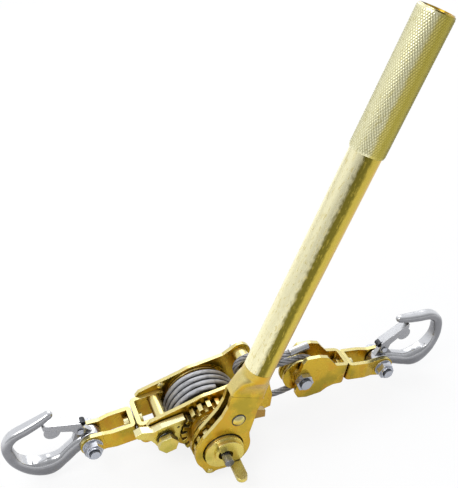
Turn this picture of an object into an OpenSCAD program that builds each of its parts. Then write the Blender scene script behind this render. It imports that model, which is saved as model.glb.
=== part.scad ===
// Hand-lever wire-rope puller: a drum in a plate frame is turned by a ratchet
// handle, and the rope runs round a sheave block that carries the load hook.
// Millimetres, +Z up. The origin is the middle of the anchor hook's seat, +X
// points from the anchor hook to the load hook, and the handle is on the -Y side.

/* [Pose at rest] */
// Nose-up tilt of the frame plates, in degrees
winch_pitch = 12.1; // [6:0.1:18]
// Angle between the handle and the frame plates, in degrees
handle_angle = 55; // [45:1:70]
// Tilt of the anchor strap and its yoke, in degrees
rear_pitch = 5; // [3:0.1:10]
// Tilt of the sheave block and its yoke, in degrees
front_pitch = -10.5; // [-14:0.1:-5]
// Tilt of the anchor hook about its bolt, in degrees
rear_hook_pitch = -4; // [-8:0.5:4]
// Tilt of the load hook about its bolt, in degrees
front_hook_pitch = 12; // [4:0.5:16]

/* [Frame] */
// Clear width between the two frame plates
frame_gap = 38; // [37:0.5:44]
// Thickness of a frame plate
plate_t = 4; // [3:0.5:5]
// Radius of the plates' round middle
plate_lobe_r = 36.5; // [36:0.5:40]
// Distance from the axle back to the anchor strap's web
strap_back = 68; // [66:0.2:74]
// Height of the strap's web above the axle line
strap_up = 17; // [15:0.2:20]
// Height of the anchor strap's strip
strap_h = 26; // [22:1:28]
// Thickness of the strips that the strap, the yokes and the block are bent from
strip_t = 4.5; // [3.5:0.5:5]
// Distance from the axle forward to the rope anchor
anchor_ahead = 55; // [53:1:62]
// Height of the rope anchor above the axle line
anchor_up = 27; // [24:1:30]
// Outer radius of the sleeve that the rope eye goes round
anchor_sleeve_r = 8; // [7:0.5:9]
// Radius of the bolt through the rope anchor
anchor_bolt_r = 5; // [4:0.5:5.5]
// Thickness of the guard band across the front of the frame
band_t = 2.5; // [2:0.5:3.5]

/* [Drum and rope] */
// Diameter of the wire rope
rope_d = 6.8; // [6:0.2:7]
// Distance from one turn on the drum to the next
turn_pitch = 7.25; // [7.1:0.05:7.3]
// Radius from the axle to the middle of the rope on the drum
wrap_r = 34.5; // [33:0.5:35]
// Turns of rope on the drum, in degrees
wrap_turn = 1290; // [1200:10:1300]
// Radius of the drum's two flanges
flange_r = 34; // [33:0.5:35]
// Thickness of a drum flange
flange_t = 1.8; // [1.5:0.1:2]
// Clearance between the drum and each frame plate
drum_clear = 0.5; // [0.4:0.1:1]
// Radius of the axle
axle_r = 9; // [7:0.5:10]

/* [Ratchet] */
// Radius over the teeth of the ratchet wheel
wheel_tip_r = 32.5; // [30:0.5:33]
// Depth of the ratchet wheel's teeth
wheel_tooth = 5.5; // [4:0.5:6.5]
// Number of teeth on the ratchet wheel
wheel_teeth = 22; // [16:1:24]
// Thickness of the ratchet wheel
wheel_t = 8.5; // [6:0.5:9]
// Radius over the teeth of the drive gear
gear_tip_r = 26.5; // [24:0.5:27]
// Number of teeth on the drive gear
gear_teeth = 16; // [12:1:20]
// Thickness of the drive gear
gear_t = 6; // [5:0.5:6.5]
// Distance from the frame plate to the fork's inner plate
fork_out = 23; // [21:0.5:26]
// Clear width between the fork plates
fork_gap = 7.5; // [7.2:0.1:9]
// Thickness of a fork plate
fork_t = 4; // [3:0.5:4.5]
// Radius of the hole round the knob in the outer fork plate
hub_hole_r = 20.7; // [20.2:0.1:22]
// Radius of the knob
knob_r = 19.4; // [17:0.2:19.6]
// Length of the knob
knob_len = 13; // [11:0.5:16]

/* [Handle] */
// Diameter of the handle tube
tube_d = 28; // [25:0.5:30]
// Wall of the handle tube
tube_wall = 2; // [1.5:0.5:3]
// Distance from the axle to the lower end of the tube
tube_start = 97; // [94:1:104]
// Distance from the axle to the top of the handle
handle_len = 437; // [380:1:460]
// Length of the knurled grip
grip_len = 117; // [90:1:140]
// Thickness of the knurled grip's skin
grip_t = 1.6; // [1:0.1:2.5]

/* [Yokes and hooks] */
// Distance from a swivel to its hook bolt
yoke_reach = 46; // [44:0.5:52]
// Height of a yoke's web
yoke_h = 20; // [18:1:24]
// Radius of the eye at the end of each yoke leg
yoke_eye_r = 11.5; // [10.5:0.5:12]
// Width over a yoke's legs at its web
yoke_w = 27; // [26:0.5:32]
// Radius of a swivel rivet
swivel_r = 4.5; // [4:0.5:5.5]
// Radius of a hook bolt
hook_bolt_r = 5; // [4:0.5:6]
// Thickness of a hook's eye
hook_t = 13; // [12:0.5:15]
// Radius of the hook's seat
seat_r = 20.5; // [20:0.25:21]
// Distance from the hook bolt to the middle of the seat, along the hook
seat_x = 49.5; // [49:0.25:50]
// Height of the middle of the seat above the hook bolt
seat_z = 14; // [13.5:0.25:14.5]

/* [Sheave block] */
// Distance from the axle forward to the sheave's bolt
sheave_ahead = 106.5; // [104:0.5:120]
// Height of the sheave's bolt above the axle
sheave_up = 9.5; // [6:0.5:11]
// Distance from the sheave's bolt to the block's swivel
block_reach = 54; // [53:0.5:60]
// Radius from the sheave's bolt to the middle of the rope on it
sheave_rope_r = 18.5; // [17.5:0.5:20]
// Radius of the sheave's flanges
sheave_r = 19; // [18.5:0.5:20]
// Width of the sheave
sheave_w = 13; // [12:0.5:14]
// Width over the block's plates
block_w = 28; // [27:0.5:31]
// Radius of the sheave's bolt
sheave_bolt_r = 6; // [5:0.5:7]

/* [Hidden] */

$fn = 64;
gold = "#c8a63c";
pale_gold = "#d8bd62";
silver = "#b9bcc0";
dark_steel = "#5c5f63";
rope_grey = "#8d9094";

// Clearances: a turning fit, a gap between moving pieces, and a light touch
fit = 0.05;
gap = 0.4;

// A point of a hook or of the winch, turned up by an angle in the XZ plane
function tilt(p, a) = [p[0] * cos(a) - p[1] * sin(a), p[0] * sin(a) + p[1] * cos(a)];
function ahead(len, a) = [len * cos(a), len * sin(a)];

seat_at = tilt([seat_x, seat_z], rear_hook_pitch);
rear_bolt = [seat_at[0], -seat_at[1]];
rear_swivel = rear_bolt + ahead(yoke_reach, rear_pitch);
axle = rear_swivel + tilt([strap_back, -strap_up], winch_pitch);
sheave_at = axle + [sheave_ahead, sheave_up];
front_swivel = sheave_at + ahead(block_reach, front_pitch);
front_bolt = front_swivel + ahead(yoke_reach, front_pitch);

rope_r = rope_d / 2;
plate_in = frame_gap / 2;
plate_out = plate_in + plate_t;
drum_half = plate_in - drum_clear;
wheel_y = -plate_out - 2.2;
fork_y = -plate_out - fork_out;
gear_y = fork_y - fork_t - fork_gap / 2;
outer_fork_y = fork_y - fork_t - fork_gap;
fork_face_y = outer_fork_y - fork_t;
tube_r = tube_d / 2;
tube_y = gear_y - 1;
wrap_half = turn_pitch * wrap_turn / 720;
knob_back = outer_fork_y + 0.1;
eye_in = hook_t / 2 + gap;
eye_out = eye_in + strip_t;
bolt_end = 9;

pawl_at = [-46, 12];
anchor = [anchor_ahead, anchor_up];
pivot_at = [38, -1];
latch_pin_at = [7, 18];
pawl_row = axle + tilt(pawl_at, winch_pitch);
pivot_row = axle + tilt(pivot_at, winch_pitch + handle_angle);
rear_latch_off = tilt(latch_pin_at, rear_hook_pitch);
rear_latch_row = rear_bolt + [-rear_latch_off[0], rear_latch_off[1]];
front_latch_row = front_bolt + tilt(latch_pin_at, front_hook_pitch);
front_seat_row = front_bolt + tilt([seat_x, seat_z], front_hook_pitch);

echo(pawl_row = pawl_row, pivot_row = pivot_row, front_seat_row = front_seat_row);
echo(rear_latch_row = rear_latch_row, front_latch_row = front_latch_row);
echo(rear_bolt = rear_bolt, rear_swivel = rear_swivel, axle = axle, sheave_at = sheave_at);
echo(front_swivel = front_swivel, front_bolt = front_bolt);
echo(tube_y = tube_y, fork_y = fork_y, outer_fork_y = outer_fork_y, knob_back = knob_back, wheel_y = wheel_y);

// Frames: the winch, its handle, the two swivels and the two hooks
module in_winch() {
    translate([axle[0], 0, axle[1]]) rotate([0, -winch_pitch, 0]) children();
}

module in_handle() {
    translate([axle[0], 0, axle[1]]) rotate([0, -winch_pitch - handle_angle, 0]) children();
}

module in_rear() {
    translate([rear_swivel[0], 0, rear_swivel[1]]) rotate([0, -rear_pitch, 0]) mirror([1, 0, 0]) children();
}

module in_front() {
    translate([front_swivel[0], 0, front_swivel[1]]) rotate([0, -front_pitch, 0]) children();
}

module in_rear_hook() {
    translate([rear_bolt[0], 0, rear_bolt[1]]) rotate([0, rear_hook_pitch, 0]) mirror([1, 0, 0]) children();
}

module in_front_hook() {
    translate([front_bolt[0], 0, front_bolt[1]]) rotate([0, -front_hook_pitch, 0]) children();
}

// An outline in XZ, given thickness from y_low to y_high
module slab(y_low, y_high) {
    translate([0, y_high, 0]) rotate([90, 0, 0]) linear_extrude(y_high - y_low) children();
}

// A round bar along Y
module rod(at, y_low, y_high, r) {
    slab(y_low, y_high) translate(at) circle(r);
}

// A domed rivet head on the -Y side, its flat at y
module dome(at, y, r, h) {
    ball_r = (r * r + h * h) / (2 * h);
    translate([at[0], y, at[1]]) rotate([90, 0, 0]) intersection() {
        translate([0, 0, h - ball_r]) sphere(ball_r);
        cylinder(r = r, h = h);
    }
}

// A hexagon along Y, measured across its flats
module hexagon(at, y_low, y_high, flats) {
    slab(y_low, y_high) translate(at) circle(flats / sqrt(3), $fn = 6);
}

// Swept tubes: rings of points joined into one closed skin
function ring_faces(rings, sides) = concat(
    [for (i = [0:rings - 2], j = [0:sides - 1])
        [i * sides + j, i * sides + (j + 1) % sides, (i + 1) * sides + j]],
    [for (i = [0:rings - 2], j = [0:sides - 1])
        [i * sides + (j + 1) % sides, (i + 1) * sides + (j + 1) % sides, (i + 1) * sides + j]],
    [for (j = [1:sides - 2]) [0, j + 1, j]],
    [for (j = [1:sides - 2]) let (k = (rings - 1) * sides) [k, k + j, k + j + 1]]
);

function unit(v) = v / norm(v);

// A coil about the Y axis: radius, start angle, turned angle, y at its start and end, wire radius,
// rings and the length of the straight end that leaves along the last tangent
function coil_at(r, a0, turn, y0, y1, t) =
    let (a = a0 + turn * t) [r * cos(a), y0 + (y1 - y0) * t, r * sin(a)];
function coil_frame(p, out, dir, wire, sides) = [for (j = [0:sides - 1])
    let (a = 360 * j / sides, side = unit(cross(dir, out))) p + wire * (cos(a) * out + sin(a) * side)];
function coil_points(r, a0, turn, y0, y1, wire, rings, sides, tail) =
    let (
        sign_turn = turn > 0 ? 1 : -1,
        last = a0 + turn,
        end_dir = sign_turn * [-sin(last), 0, cos(last)],
        end_out = [cos(last), 0, sin(last)],
        end_p = coil_at(r, a0, turn, y0, y1, 1)
    )
    concat(
        [for (i = [0:rings - 1]) let (
            a = a0 + turn * i / (rings - 1),
            dir = sign_turn * [-sin(a), 0, cos(a)],
            out = [cos(a), 0, sin(a)]
        ) each coil_frame(coil_at(r, a0, turn, y0, y1, i / (rings - 1)), out, dir, wire, sides)],
        coil_frame(end_p + tail * end_dir, end_out, end_dir, wire, sides)
    );

module coil(r, a0, turn, y0, y1, wire, rings, sides, tail) {
    pts = coil_points(r, a0, turn, y0, y1, wire, rings, sides, tail);
    polyhedron(pts, ring_faces(rings + 1, sides));
}

// ---- Frame ----

ear_r = 12;
plate_top = plate_lobe_r - 0.5;
spacer_at = [-43, 20.5];
strap_rivet_at = [-37, 21];
stop_rivet_at = [-31.5, 29.6];
bush_wall = 3;

module plate_outline() {
    circle(plate_lobe_r);
    polygon([
        [0, plate_top], [-24, 34.5], [-54, 33], [-59, 29], [-59, 10], [-50, 6], [-30, -20],
    ]);
    polygon([[0, plate_top], [38, 33.5], anchor + [-4, 11], anchor + [11, -5], [anchor_ahead, 6], [28, -23]]);
    translate(anchor) circle(ear_r);
}

module frame_plate(y_low, y_high) {
    in_winch() difference() {
        slab(y_low, y_high) plate_outline();
        rod([0, 0], y_low - 1, y_high + 1, axle_r + bush_wall);
        rod(anchor, y_low - 1, y_high + 1, anchor_bolt_r);
    }
}

module near_plate() {
    color(gold) difference() {
        frame_plate(-plate_out, -plate_in);
        in_winch() rod(pawl_at, -plate_out - 1, -plate_in + 1, pawl_bolt_r);
    }
}

module far_plate() {
    color(gold) frame_plate(plate_in, plate_out);
}

// A U bent from strip, seen from above: the web starts at x and the legs run to x_end
module bent_outline(x, x_end, half_w, bend_r) {
    difference() {
        union() {
            translate([x + bend_r, -half_w]) square([x_end - x - bend_r, 2 * half_w]);
            translate([x, -half_w + bend_r]) square([bend_r, 2 * (half_w - bend_r)]);
            for (s = [-1, 1]) translate([x + bend_r, s * (half_w - bend_r)]) circle(bend_r);
        }
        inner_r = bend_r - strip_t;
        translate([x + bend_r, -half_w + strip_t]) square([x_end - x, 2 * (half_w - strip_t)]);
        translate([x + strip_t, -half_w + bend_r]) square([bend_r, 2 * (half_w - bend_r)]);
        for (s = [-1, 1]) translate([x + bend_r, s * (half_w - bend_r)]) circle(inner_r);
    }
}

strap_len = 42;
strap_bend = 6.5;

// The strap's legs stay this far outside the rope on the drum
drum_pass = 1.6;

module rear_strap() {
    from_swivel = tilt(axle - rear_swivel, -rear_pitch);
    half = strap_h / 2;
    color(pale_gold) in_rear() difference() {
        intersection() {
            translate([0, 0, -strap_h]) linear_extrude(2 * strap_h) mirror([1, 0])
                bent_outline(0, strap_len + strap_h, plate_in, strap_bend);
            slab(-plate_in, plate_in) mirror([1, 0]) difference() {
                union() {
                    translate([0, -half]) square([strap_len - half, strap_h]);
                    translate([strap_len - half, 0]) circle(half);
                }
                translate(from_swivel) circle(wrap_r + rope_r + drum_pass);
            }
        }
        rotate([0, 90, 0]) cylinder(r = swivel_r, h = 3 * strip_t, center = true);
    }
}

rivet_r = 4;

// Domed on the far side; on the near side they are flush, so that the pawl and the wheel pass.
// The stop rivet's head is on the far plate's inner face
module frame_rivets() {
    color(pale_gold) in_winch() {
        mirror([0, 1, 0]) {
            dome(strap_rivet_at, -plate_out, rivet_r + 2.5, 3);
            dome(spacer_at, -plate_out, rivet_r + 2.5, 3);
        }
        dome(stop_rivet_at, plate_in, rivet_r, 2.2);
    }
}

module rear_spacer() {
    color(gold) in_winch() rod(spacer_at, -plate_in + strip_t, plate_in - strip_t, 6.5);
}

band_head_r = 9;
band_front = 13;
band_low = -15;

// The guard band's legs hang outside the frame plates and its web crosses under the upper rope
module guard_band() {
    leg = plate_out + band_t;
    color(gold) in_winch() difference() {
        union() {
            for (s = [-1, 1]) slab(s > 0 ? plate_out : -leg, s > 0 ? leg : -plate_out) {
                translate(anchor) circle(band_head_r);
                polygon([
                    anchor + [-band_head_r, 0], anchor + [band_head_r, 0], anchor + [band_front, -9],
                    [anchor_ahead + band_front, 0],
                    [anchor_ahead + 8, band_low], [anchor_ahead - 8, band_low],
                ]);
            }
            slab(-leg, leg) translate([anchor_ahead - 8, band_low]) square([16, band_t]);
        }
        rod(anchor, -leg - 1, leg + 1, anchor_bolt_r);
    }
}

module anchor_sleeve() {
    color(gold) in_winch() difference() {
        rod(anchor, -plate_in, plate_in, anchor_sleeve_r);
        rod(anchor, -plate_in - 1, plate_in + 1, anchor_bolt_r);
    }
}

module anchor_bolt() {
    head = plate_out + band_t;
    color(silver) in_winch() {
        rod(anchor, -head - 1, head + 6, anchor_bolt_r);
        rod(anchor, -head - 5, -head, anchor_bolt_r * 1.6);
        hexagon(anchor, head, head + 4, 15);
    }
}

module axle_bushes() {
    color(pale_gold) in_winch() for (s = [-1, 1]) difference() {
        rod([0, 0], s > 0 ? plate_in : -plate_out, s > 0 ? plate_out : -plate_in, axle_r + bush_wall);
        rod([0, 0], -plate_out - 1, plate_out + 1, axle_r + fit);
    }
}

// ---- Holding pawl on the near plate ----

pawl_bolt_r = 6;
pawl_y = -plate_out - 2;
pawl_t = 6.5;
pawl_bush_r = 8;
pawl_head_y = pawl_y - pawl_t - 3;

module pawl_bolt() {
    color(gold) in_winch() {
        rod(pawl_at, pawl_head_y, -plate_in, pawl_bolt_r);
        hexagon(pawl_at, pawl_head_y - 6, pawl_head_y, 18);
    }
}

module pawl_bush() {
    color(silver) in_winch() difference() {
        rod(pawl_at, pawl_y - pawl_t - 0.3, -plate_out, pawl_bush_r);
        rod(pawl_at, pawl_head_y - 1, plate_out, pawl_bolt_r);
    }
}

// A bent arm with a thumb end at the left, a nose over the wheel and a hollow that follows it
pawl_outline = [
    [-72, 34], [-65, 35], [-55, 29.5], [-46, 30], [-22.5, 28.3], [-23.4, 24.6], [-27.6, 19.2],
    [-31.6, 12], [-33.2, 6], [-36.5, 1.5], [-55, 5], [-60, 18], [-71, 28],
];
pawl_top = [
    [-72, 34], [-65, 35], [-55, 29.5], [-46, 30], [-22.5, 28.3], [-23, 25.8], [-46, 27], [-55, 26.5],
    [-65, 31.5], [-72, 30.5],
];

module holding_pawl() {
    color(pale_gold) in_winch() difference() {
        union() {
            slab(pawl_y - pawl_t, pawl_y) {
                translate(pawl_at) circle(11.5);
                polygon(pawl_outline);
            }
            slab(pawl_y - pawl_t - 1.2, pawl_y + 0.8) {
                polygon(pawl_top);
            }
        }
        rod(pawl_at, pawl_y - pawl_t - 2, pawl_y + 2, pawl_bush_r + fit);
        rod([-31, 20.5], pawl_y - pawl_t - 2, pawl_y + 2, 1.2);
    }
}

spring_r = pawl_bush_r + 1;
spring_turn = 400;
spring_wire = 0.4;
spring_rings = 11;
spring_y = pawl_y - pawl_t - 0.75;
spring_rise = 1.5;

module pawl_spring() {
    color(dark_steel) in_winch() translate([pawl_at[0], 0, pawl_at[1]]) coil(
        spring_r, 40, spring_turn, spring_y, spring_y - spring_rise, spring_wire, spring_rings, 6, 1
    );
}

// ---- Rope ----

// The live rope is one straight line below the anchor sleeve and over the sheave's top, and a
// second one from the drum's underside to the sheave's underside
anchor_row = axle + tilt(anchor, winch_pitch);
eye_r = anchor_sleeve_r + rope_r + 0.1;
function across(p, q) = atan2(q[1] - p[1], q[0] - p[0]);
function normal(a) = [-sin(a), cos(a)];
upper_angle = across(anchor_row, sheave_at)
    + asin((eye_r + sheave_rope_r) / norm(sheave_at - anchor_row));
lower_angle = across(axle, sheave_at) + asin((wrap_r - sheave_rope_r) / norm(sheave_at - axle));
eye_foot = anchor_row - eye_r * normal(upper_angle);
sheave_top = sheave_at + sheave_rope_r * normal(upper_angle);
drum_foot = axle - wrap_r * normal(lower_angle);
sheave_foot = sheave_at - sheave_rope_r * normal(lower_angle);

ferrule_start = 12;
ferrule_len = 18;
stub_len = 37;
stub_lift = 9;
dead_rise = rope_d + 1.5;
ferrule_r = rope_r + 1.6;
along_upper = ahead(1, upper_angle);
ferrule_rear = eye_foot + ferrule_start * along_upper;
ferrule_front = ferrule_rear + ferrule_len * along_upper;
dead_rear = ferrule_rear + dead_rise * normal(upper_angle);
dead_front = dead_rear + ferrule_len * along_upper;
along_stub = ahead(1, upper_angle + stub_lift);
sleeve_len = 21;
sleeve_front = dead_front + (stub_len + 2) * along_stub;
dead_angle = across(anchor_row, dead_rear) - asin(eye_r / norm(dead_rear - anchor_row));

// A straight round bar between two points of the XZ plane, from y to y2
module bar(p, q, y, y2, r) {
    d = [q[0] - p[0], y2 - y, q[1] - p[1]];
    translate([p[0], y, p[1]]) rotate([0, acos(d[2] / norm(d)), atan2(d[1], d[0])])
        cylinder(r = r, h = norm(d));
}

// Rope bent round a centre, from one angle to another
module rope_bend(at, r, from, to) {
    translate([at[0], 0, at[1]]) rotate([90, 0, 0]) rotate([0, 0, from])
        rotate_extrude(angle = to - from) translate([r, 0]) circle(rope_r);
}

// Rope along a path of points, as one skin
rope_sides = 12;
function path_ring(path, i) =
    let (
        last = len(path) - 1,
        dir = unit(path[min(i + 1, last)] - path[max(i - 1, 0)]),
        up = unit(cross(dir, [0, 1, 0])),
        side = cross(dir, up)
    )
    [for (j = [0:rope_sides - 1]) let (a = 360 * j / rope_sides)
        path[i] + rope_r * (cos(a) * up + sin(a) * side)];

module rope_along(path) {
    pts = [for (i = [0:len(path) - 1]) each path_ring(path, i)];
    polyhedron(pts, ring_faces(len(path), rope_sides));
}

function flat(p) = [p[0], 0, p[1]];

module rope_eye() {
    path = concat(
        [flat(dead_front + stub_len * along_stub), flat(dead_front + along_stub)],
        [flat(dead_front - along_upper)],
        [flat(dead_rear + 2 * along_upper), flat(dead_rear - ahead(2, dead_angle))],
        [for (p = arc(anchor_row, eye_r, 90 + dead_angle, 270 + upper_angle, 28)) flat(p)],
        [flat(ferrule_front)]
    );
    color(rope_grey) rope_along(path);
}

// A crimped sleeve that holds the rope's dead end to the live rope
module ferrule() {
    color(silver) translate([ferrule_rear[0], 0, ferrule_rear[1]]) rotate([0, 90 - upper_angle, 0])
        linear_extrude(ferrule_len) difference() {
            union() {
                circle(ferrule_r);
                translate([-dead_rise, 0]) circle(ferrule_r);
                translate([-dead_rise, -ferrule_r]) square([dead_rise, 2 * ferrule_r]);
            }
            circle(rope_r);
            translate([-dead_rise, 0]) circle(rope_r);
        }
}

// A thin sleeve pressed over the rope's dead end, open at its front
module end_sleeve() {
    color(dark_steel) difference() {
        bar(sleeve_front - sleeve_len * along_stub, sleeve_front, 0, 0, rope_r + 0.8);
        bar(dead_front, sleeve_front + along_stub, 0, 0, rope_r);
    }
}

module upper_strand() {
    color(rope_grey) bar(ferrule_front, sheave_top - gap * along_upper, 0, 0, rope_r);
}

// The strand leaves the drum beside its last turn, bends across to the middle of the sheave, and
// runs straight on to it
module lower_strand() {
    from = rope_d + 2 * gap;
    to = norm(sheave_foot - drum_foot) - 2 * gap;
    out_x = 3 * rope_d;
    in_x = to - 3 * rope_d;
    path = concat(
        [flat(drum_foot + ahead(from, lower_angle)) + [0, wrap_half, 0]],
        [for (i = [0:10]) let (t = i / 10)
            flat(drum_foot + ahead(out_x + (in_x - out_x) * t, lower_angle))
                + [0, wrap_half * (1 - t * t * (3 - 2 * t)), 0]],
        [flat(drum_foot + ahead(to, lower_angle))]
    );
    color(rope_grey) rope_along(path);
}

// ---- Drum ----

core_r = wrap_r - rope_r;
clamp_at = [0, core_r - 5];
clamp_r = 3;
clamp_len = 8;

module drum() {
    color(gold) in_winch() difference() {
        union() {
            rod([0, 0], -drum_half, drum_half, core_r);
            rod([0, 0], -drum_half, -drum_half + flange_t, flange_r);
            rod([0, 0], drum_half - flange_t, drum_half, flange_r);
        }
        rod([0, 0], -drum_half - 1, drum_half + 1, axle_r);
        rod(clamp_at, -drum_half - 1, -drum_half + clamp_len, clamp_r);
    }
}

wrap_end = lower_angle - 90 - winch_pitch;
wrap_rings = round(24 * wrap_turn / 360) + 1;

// The least gap from one turn of a coil to the next, measured on the middles of its rings
function coil_gap(r, turn, y0, y1, wire, rings) =
    let (
        at = [for (i = [0:rings - 1]) coil_at(r, 0, turn, y0, y1, i / (rings - 1))],
        half_turn = floor(180 * (rings - 1) / turn)
    )
    min([for (i = [0:rings - 1 - half_turn], j = [i + half_turn:rings - 1]) norm(at[i] - at[j])]) - 2 * wire;

echo(spring_gap = coil_gap(spring_r, spring_turn, 0, spring_rise, spring_wire, spring_rings));
echo(winding_gap = coil_gap(wrap_r, wrap_turn, -wrap_half, wrap_half, rope_r, wrap_rings));

module winding() {
    color(rope_grey) in_winch()
        coil(wrap_r, wrap_end - wrap_turn, wrap_turn, -wrap_half, wrap_half, rope_r, wrap_rings, 6, rope_d);
}

// The set screw that holds the rope's inner end in the drum
module rope_clamp() {
    color(silver) in_winch() rod(clamp_at, -drum_half, -drum_half + clamp_len, clamp_r);
}

clip_gap = 0.6;
clip_t = 2;

module axle() {
    color(silver) in_winch() {
        difference() {
            rod([0, 0], gear_y - gear_t / 2, plate_out + clip_gap + clip_t + 3, axle_r);
            rod([0, 0], gear_y - gear_t / 2 - 1, gear_y + 12, centre_bolt_r);
        }
    }
}

module axle_clip() {
    color(dark_steel) in_winch() difference() {
        rod([0, 0], plate_out + clip_gap, plate_out + clip_gap + clip_t, axle_r + 5);
        rod([0, 0], plate_out, plate_out + 5, axle_r);
    }
}

// ---- Ratchet wheel and drive gear ----

// A round body with square-shouldered teeth that lean one way
module toothed(tip_r, root_r, teeth, lean) {
    circle(root_r);
    step = 360 / teeth;
    for (i = [0:teeth - 1]) rotate(i * step) polygon([
        (root_r - 1) * [cos(-0.3 * step), sin(-0.3 * step)],
        tip_r * [cos((lean - 0.26) * step), sin((lean - 0.26) * step)],
        tip_r * [cos((lean + 0.22) * step), sin((lean + 0.22) * step)],
        (root_r - 1) * [cos(0.34 * step), sin(0.34 * step)],
    ]);
}

boss_r = 22;
boss_t = 4;
boss_y = wheel_y - wheel_t - boss_t;
hub_wall = 4;

module ratchet_wheel() {
    color(gold) in_winch() difference() {
        union() {
            slab(wheel_y - wheel_t, wheel_y)
                toothed(wheel_tip_r, wheel_tip_r - wheel_tooth, wheel_teeth, 0.1);
            rod([0, 0], boss_y, wheel_y, boss_r);
        }
        rod([0, 0], boss_y - 1, wheel_y + 1, axle_r);
    }
}

module hub_spacer() {
    color(silver) in_winch() difference() {
        rod([0, 0], fork_y + gap, boss_y, axle_r + hub_wall);
        rod([0, 0], fork_y, boss_y + 1, axle_r);
    }
}

module drive_gear() {
    color(pale_gold) in_winch() difference() {
        slab(gear_y - gear_t / 2, gear_y + gear_t / 2) toothed(gear_tip_r, gear_tip_r - 4.5, gear_teeth, 0);
        rod([0, 0], gear_y - gear_t, gear_y + gear_t, axle_r);
    }
}

// ---- Handle: fork, socket, tube and grip, in the handle's own frame ----

fork_lobe_r = 28;
lug_at = [-26, 2.5];
lug_r = 6.5;
lug_pin_at = [-29.2, 2.7];
lug_pin_r = 2;
pivot_r = 4;
plate_end = 66;

module fork_outline() {
    circle(fork_lobe_r);
    translate(lug_at) circle(lug_r);
    polygon([
        [0, fork_lobe_r], [-12, 25], [-23, 15], lug_at + [-5, 4], lug_at + [-3, -6], [-18, -21], [0, -27],
    ]);
    polygon([
        [0, fork_lobe_r], [13, 26.5], [27, 21.5], [40, 17.5], [53, 16.5], [plate_end, 18.5],
        [plate_end, -17], [52, -16], [38, -18], [22, -20], [8, -26.8],
    ]);
}

module outer_fork_plate() {
    color(gold) in_handle() difference() {
        slab(fork_face_y, outer_fork_y) fork_outline();
        rod([0, 0], fork_face_y - 1, outer_fork_y + 1, hub_hole_r);
        rod(pivot_at, fork_face_y - 1, outer_fork_y + 1, pivot_r);
        rod(lug_pin_at, fork_face_y - 1, outer_fork_y + 1, lug_pin_r);
    }
}

module inner_fork_plate() {
    color(gold) in_handle() difference() {
        slab(fork_y - fork_t, fork_y) fork_outline();
        rod([0, 0], fork_y - fork_t - 1, fork_y + 1, axle_r + bush_wall);
        rod(pivot_at, fork_y - fork_t - 1, fork_y + 1, pivot_r);
        rod(lug_pin_at, fork_y - fork_t - 1, fork_y + 1, lug_pin_r);
    }
}

// The rivet that ties the two plates' lugs together
module fork_rivets() {
    color(pale_gold) in_handle() {
        rod(lug_pin_at, fork_face_y, fork_y, lug_pin_r);
        dome(lug_pin_at, fork_face_y, lug_pin_r + 1.2, 1.6);
    }
}

module fork_bush() {
    color(silver) in_handle() difference() {
        rod([0, 0], fork_y - fork_t, fork_y, axle_r + bush_wall);
        rod([0, 0], fork_y - fork_t - 1, fork_y + 1, axle_r + fit);
    }
}

module handle_socket() {
    color(pale_gold) in_handle() {
        hull() {
            translate([tube_start - 9, tube_y, 0]) rotate([0, 90, 0]) cylinder(r = tube_r, h = 6, $fn = 32);
            slab(fork_face_y, fork_y) translate([plate_end, -17]) square([1, 35.5]);
        }
        translate([tube_start - 8, tube_y, 0]) rotate([0, 90, 0]) cylinder(r = tube_r, h = 8);
    }
}

module drive_pawl_pin() {
    color(pale_gold) in_handle() {
        rod(pivot_at, fork_face_y, fork_y, pivot_r);
        dome(pivot_at, fork_face_y, pivot_r + 2.5, 3.6);
    }
}

module handle_tube() {
    color(gold) in_handle() translate([tube_start, tube_y, 0]) rotate([0, 90, 0]) difference() {
        cylinder(r = tube_r, h = handle_len - tube_start);
        translate([0, 0, -1]) cylinder(r = tube_r - tube_wall, h = handle_len - tube_start + 2);
    }
}

module grip() {
    color(pale_gold) in_handle() translate([handle_len - grip_len, tube_y, 0]) rotate([0, 90, 0])
        difference() {
            cylinder(r = tube_r + grip_t, h = grip_len - 1);
            translate([0, 0, -1]) cylinder(r = tube_r, h = grip_len + 1);
        }
}

module handle_plug() {
    plug = 12;
    color(gold) in_handle() translate([handle_len - plug, tube_y, 0]) rotate([0, 90, 0])
        cylinder(r = tube_r - tube_wall, h = plug - 1.5);
}

// ---- Drive pawl between the fork plates ----

drive_pawl_t = 5.5;
drive_hub_r = 8.5;

module drive_pawl() {
    color("#9c6a2c") in_handle() difference() {
        slab(gear_y - drive_pawl_t / 2, gear_y + drive_pawl_t / 2) {
            translate(pivot_at) circle(drive_hub_r);
            polygon([
                pivot_at + [0, drive_hub_r], pivot_at + [-9, 5], pivot_at + [-10, 0], [30.5, -13],
                [36, -24], [38.5, -32.5], [46.5, -29.5], [47, -19], pivot_at + [drive_hub_r, 0],
            ]);
        }
        rod(pivot_at, gear_y - gear_t, gear_y + gear_t, pivot_r + fit);
    }
}

// A leaf that presses on the drive pawl, held between the plates
module drive_pawl_spring() {
    color(dark_steel) in_handle() slab(gear_y - 2, gear_y + 2)
        polygon([
            [plate_end, 6], [plate_end, 7], [44, 11.5], [38, 12.3], [36, 10.4], [38, 10.6], [44, 10.4],
        ]);
}

// ---- Knob at the axle's end ----

centre_bolt_r = 4.5;
bolt_tip = 19;
knob_front = knob_back - knob_len;
knob_base = 8;
recess_r = 7;
tab_at = [5.5, -17];
tab_len = 22;
tab_half = 5.5;
tab_t = 4.5;

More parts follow.
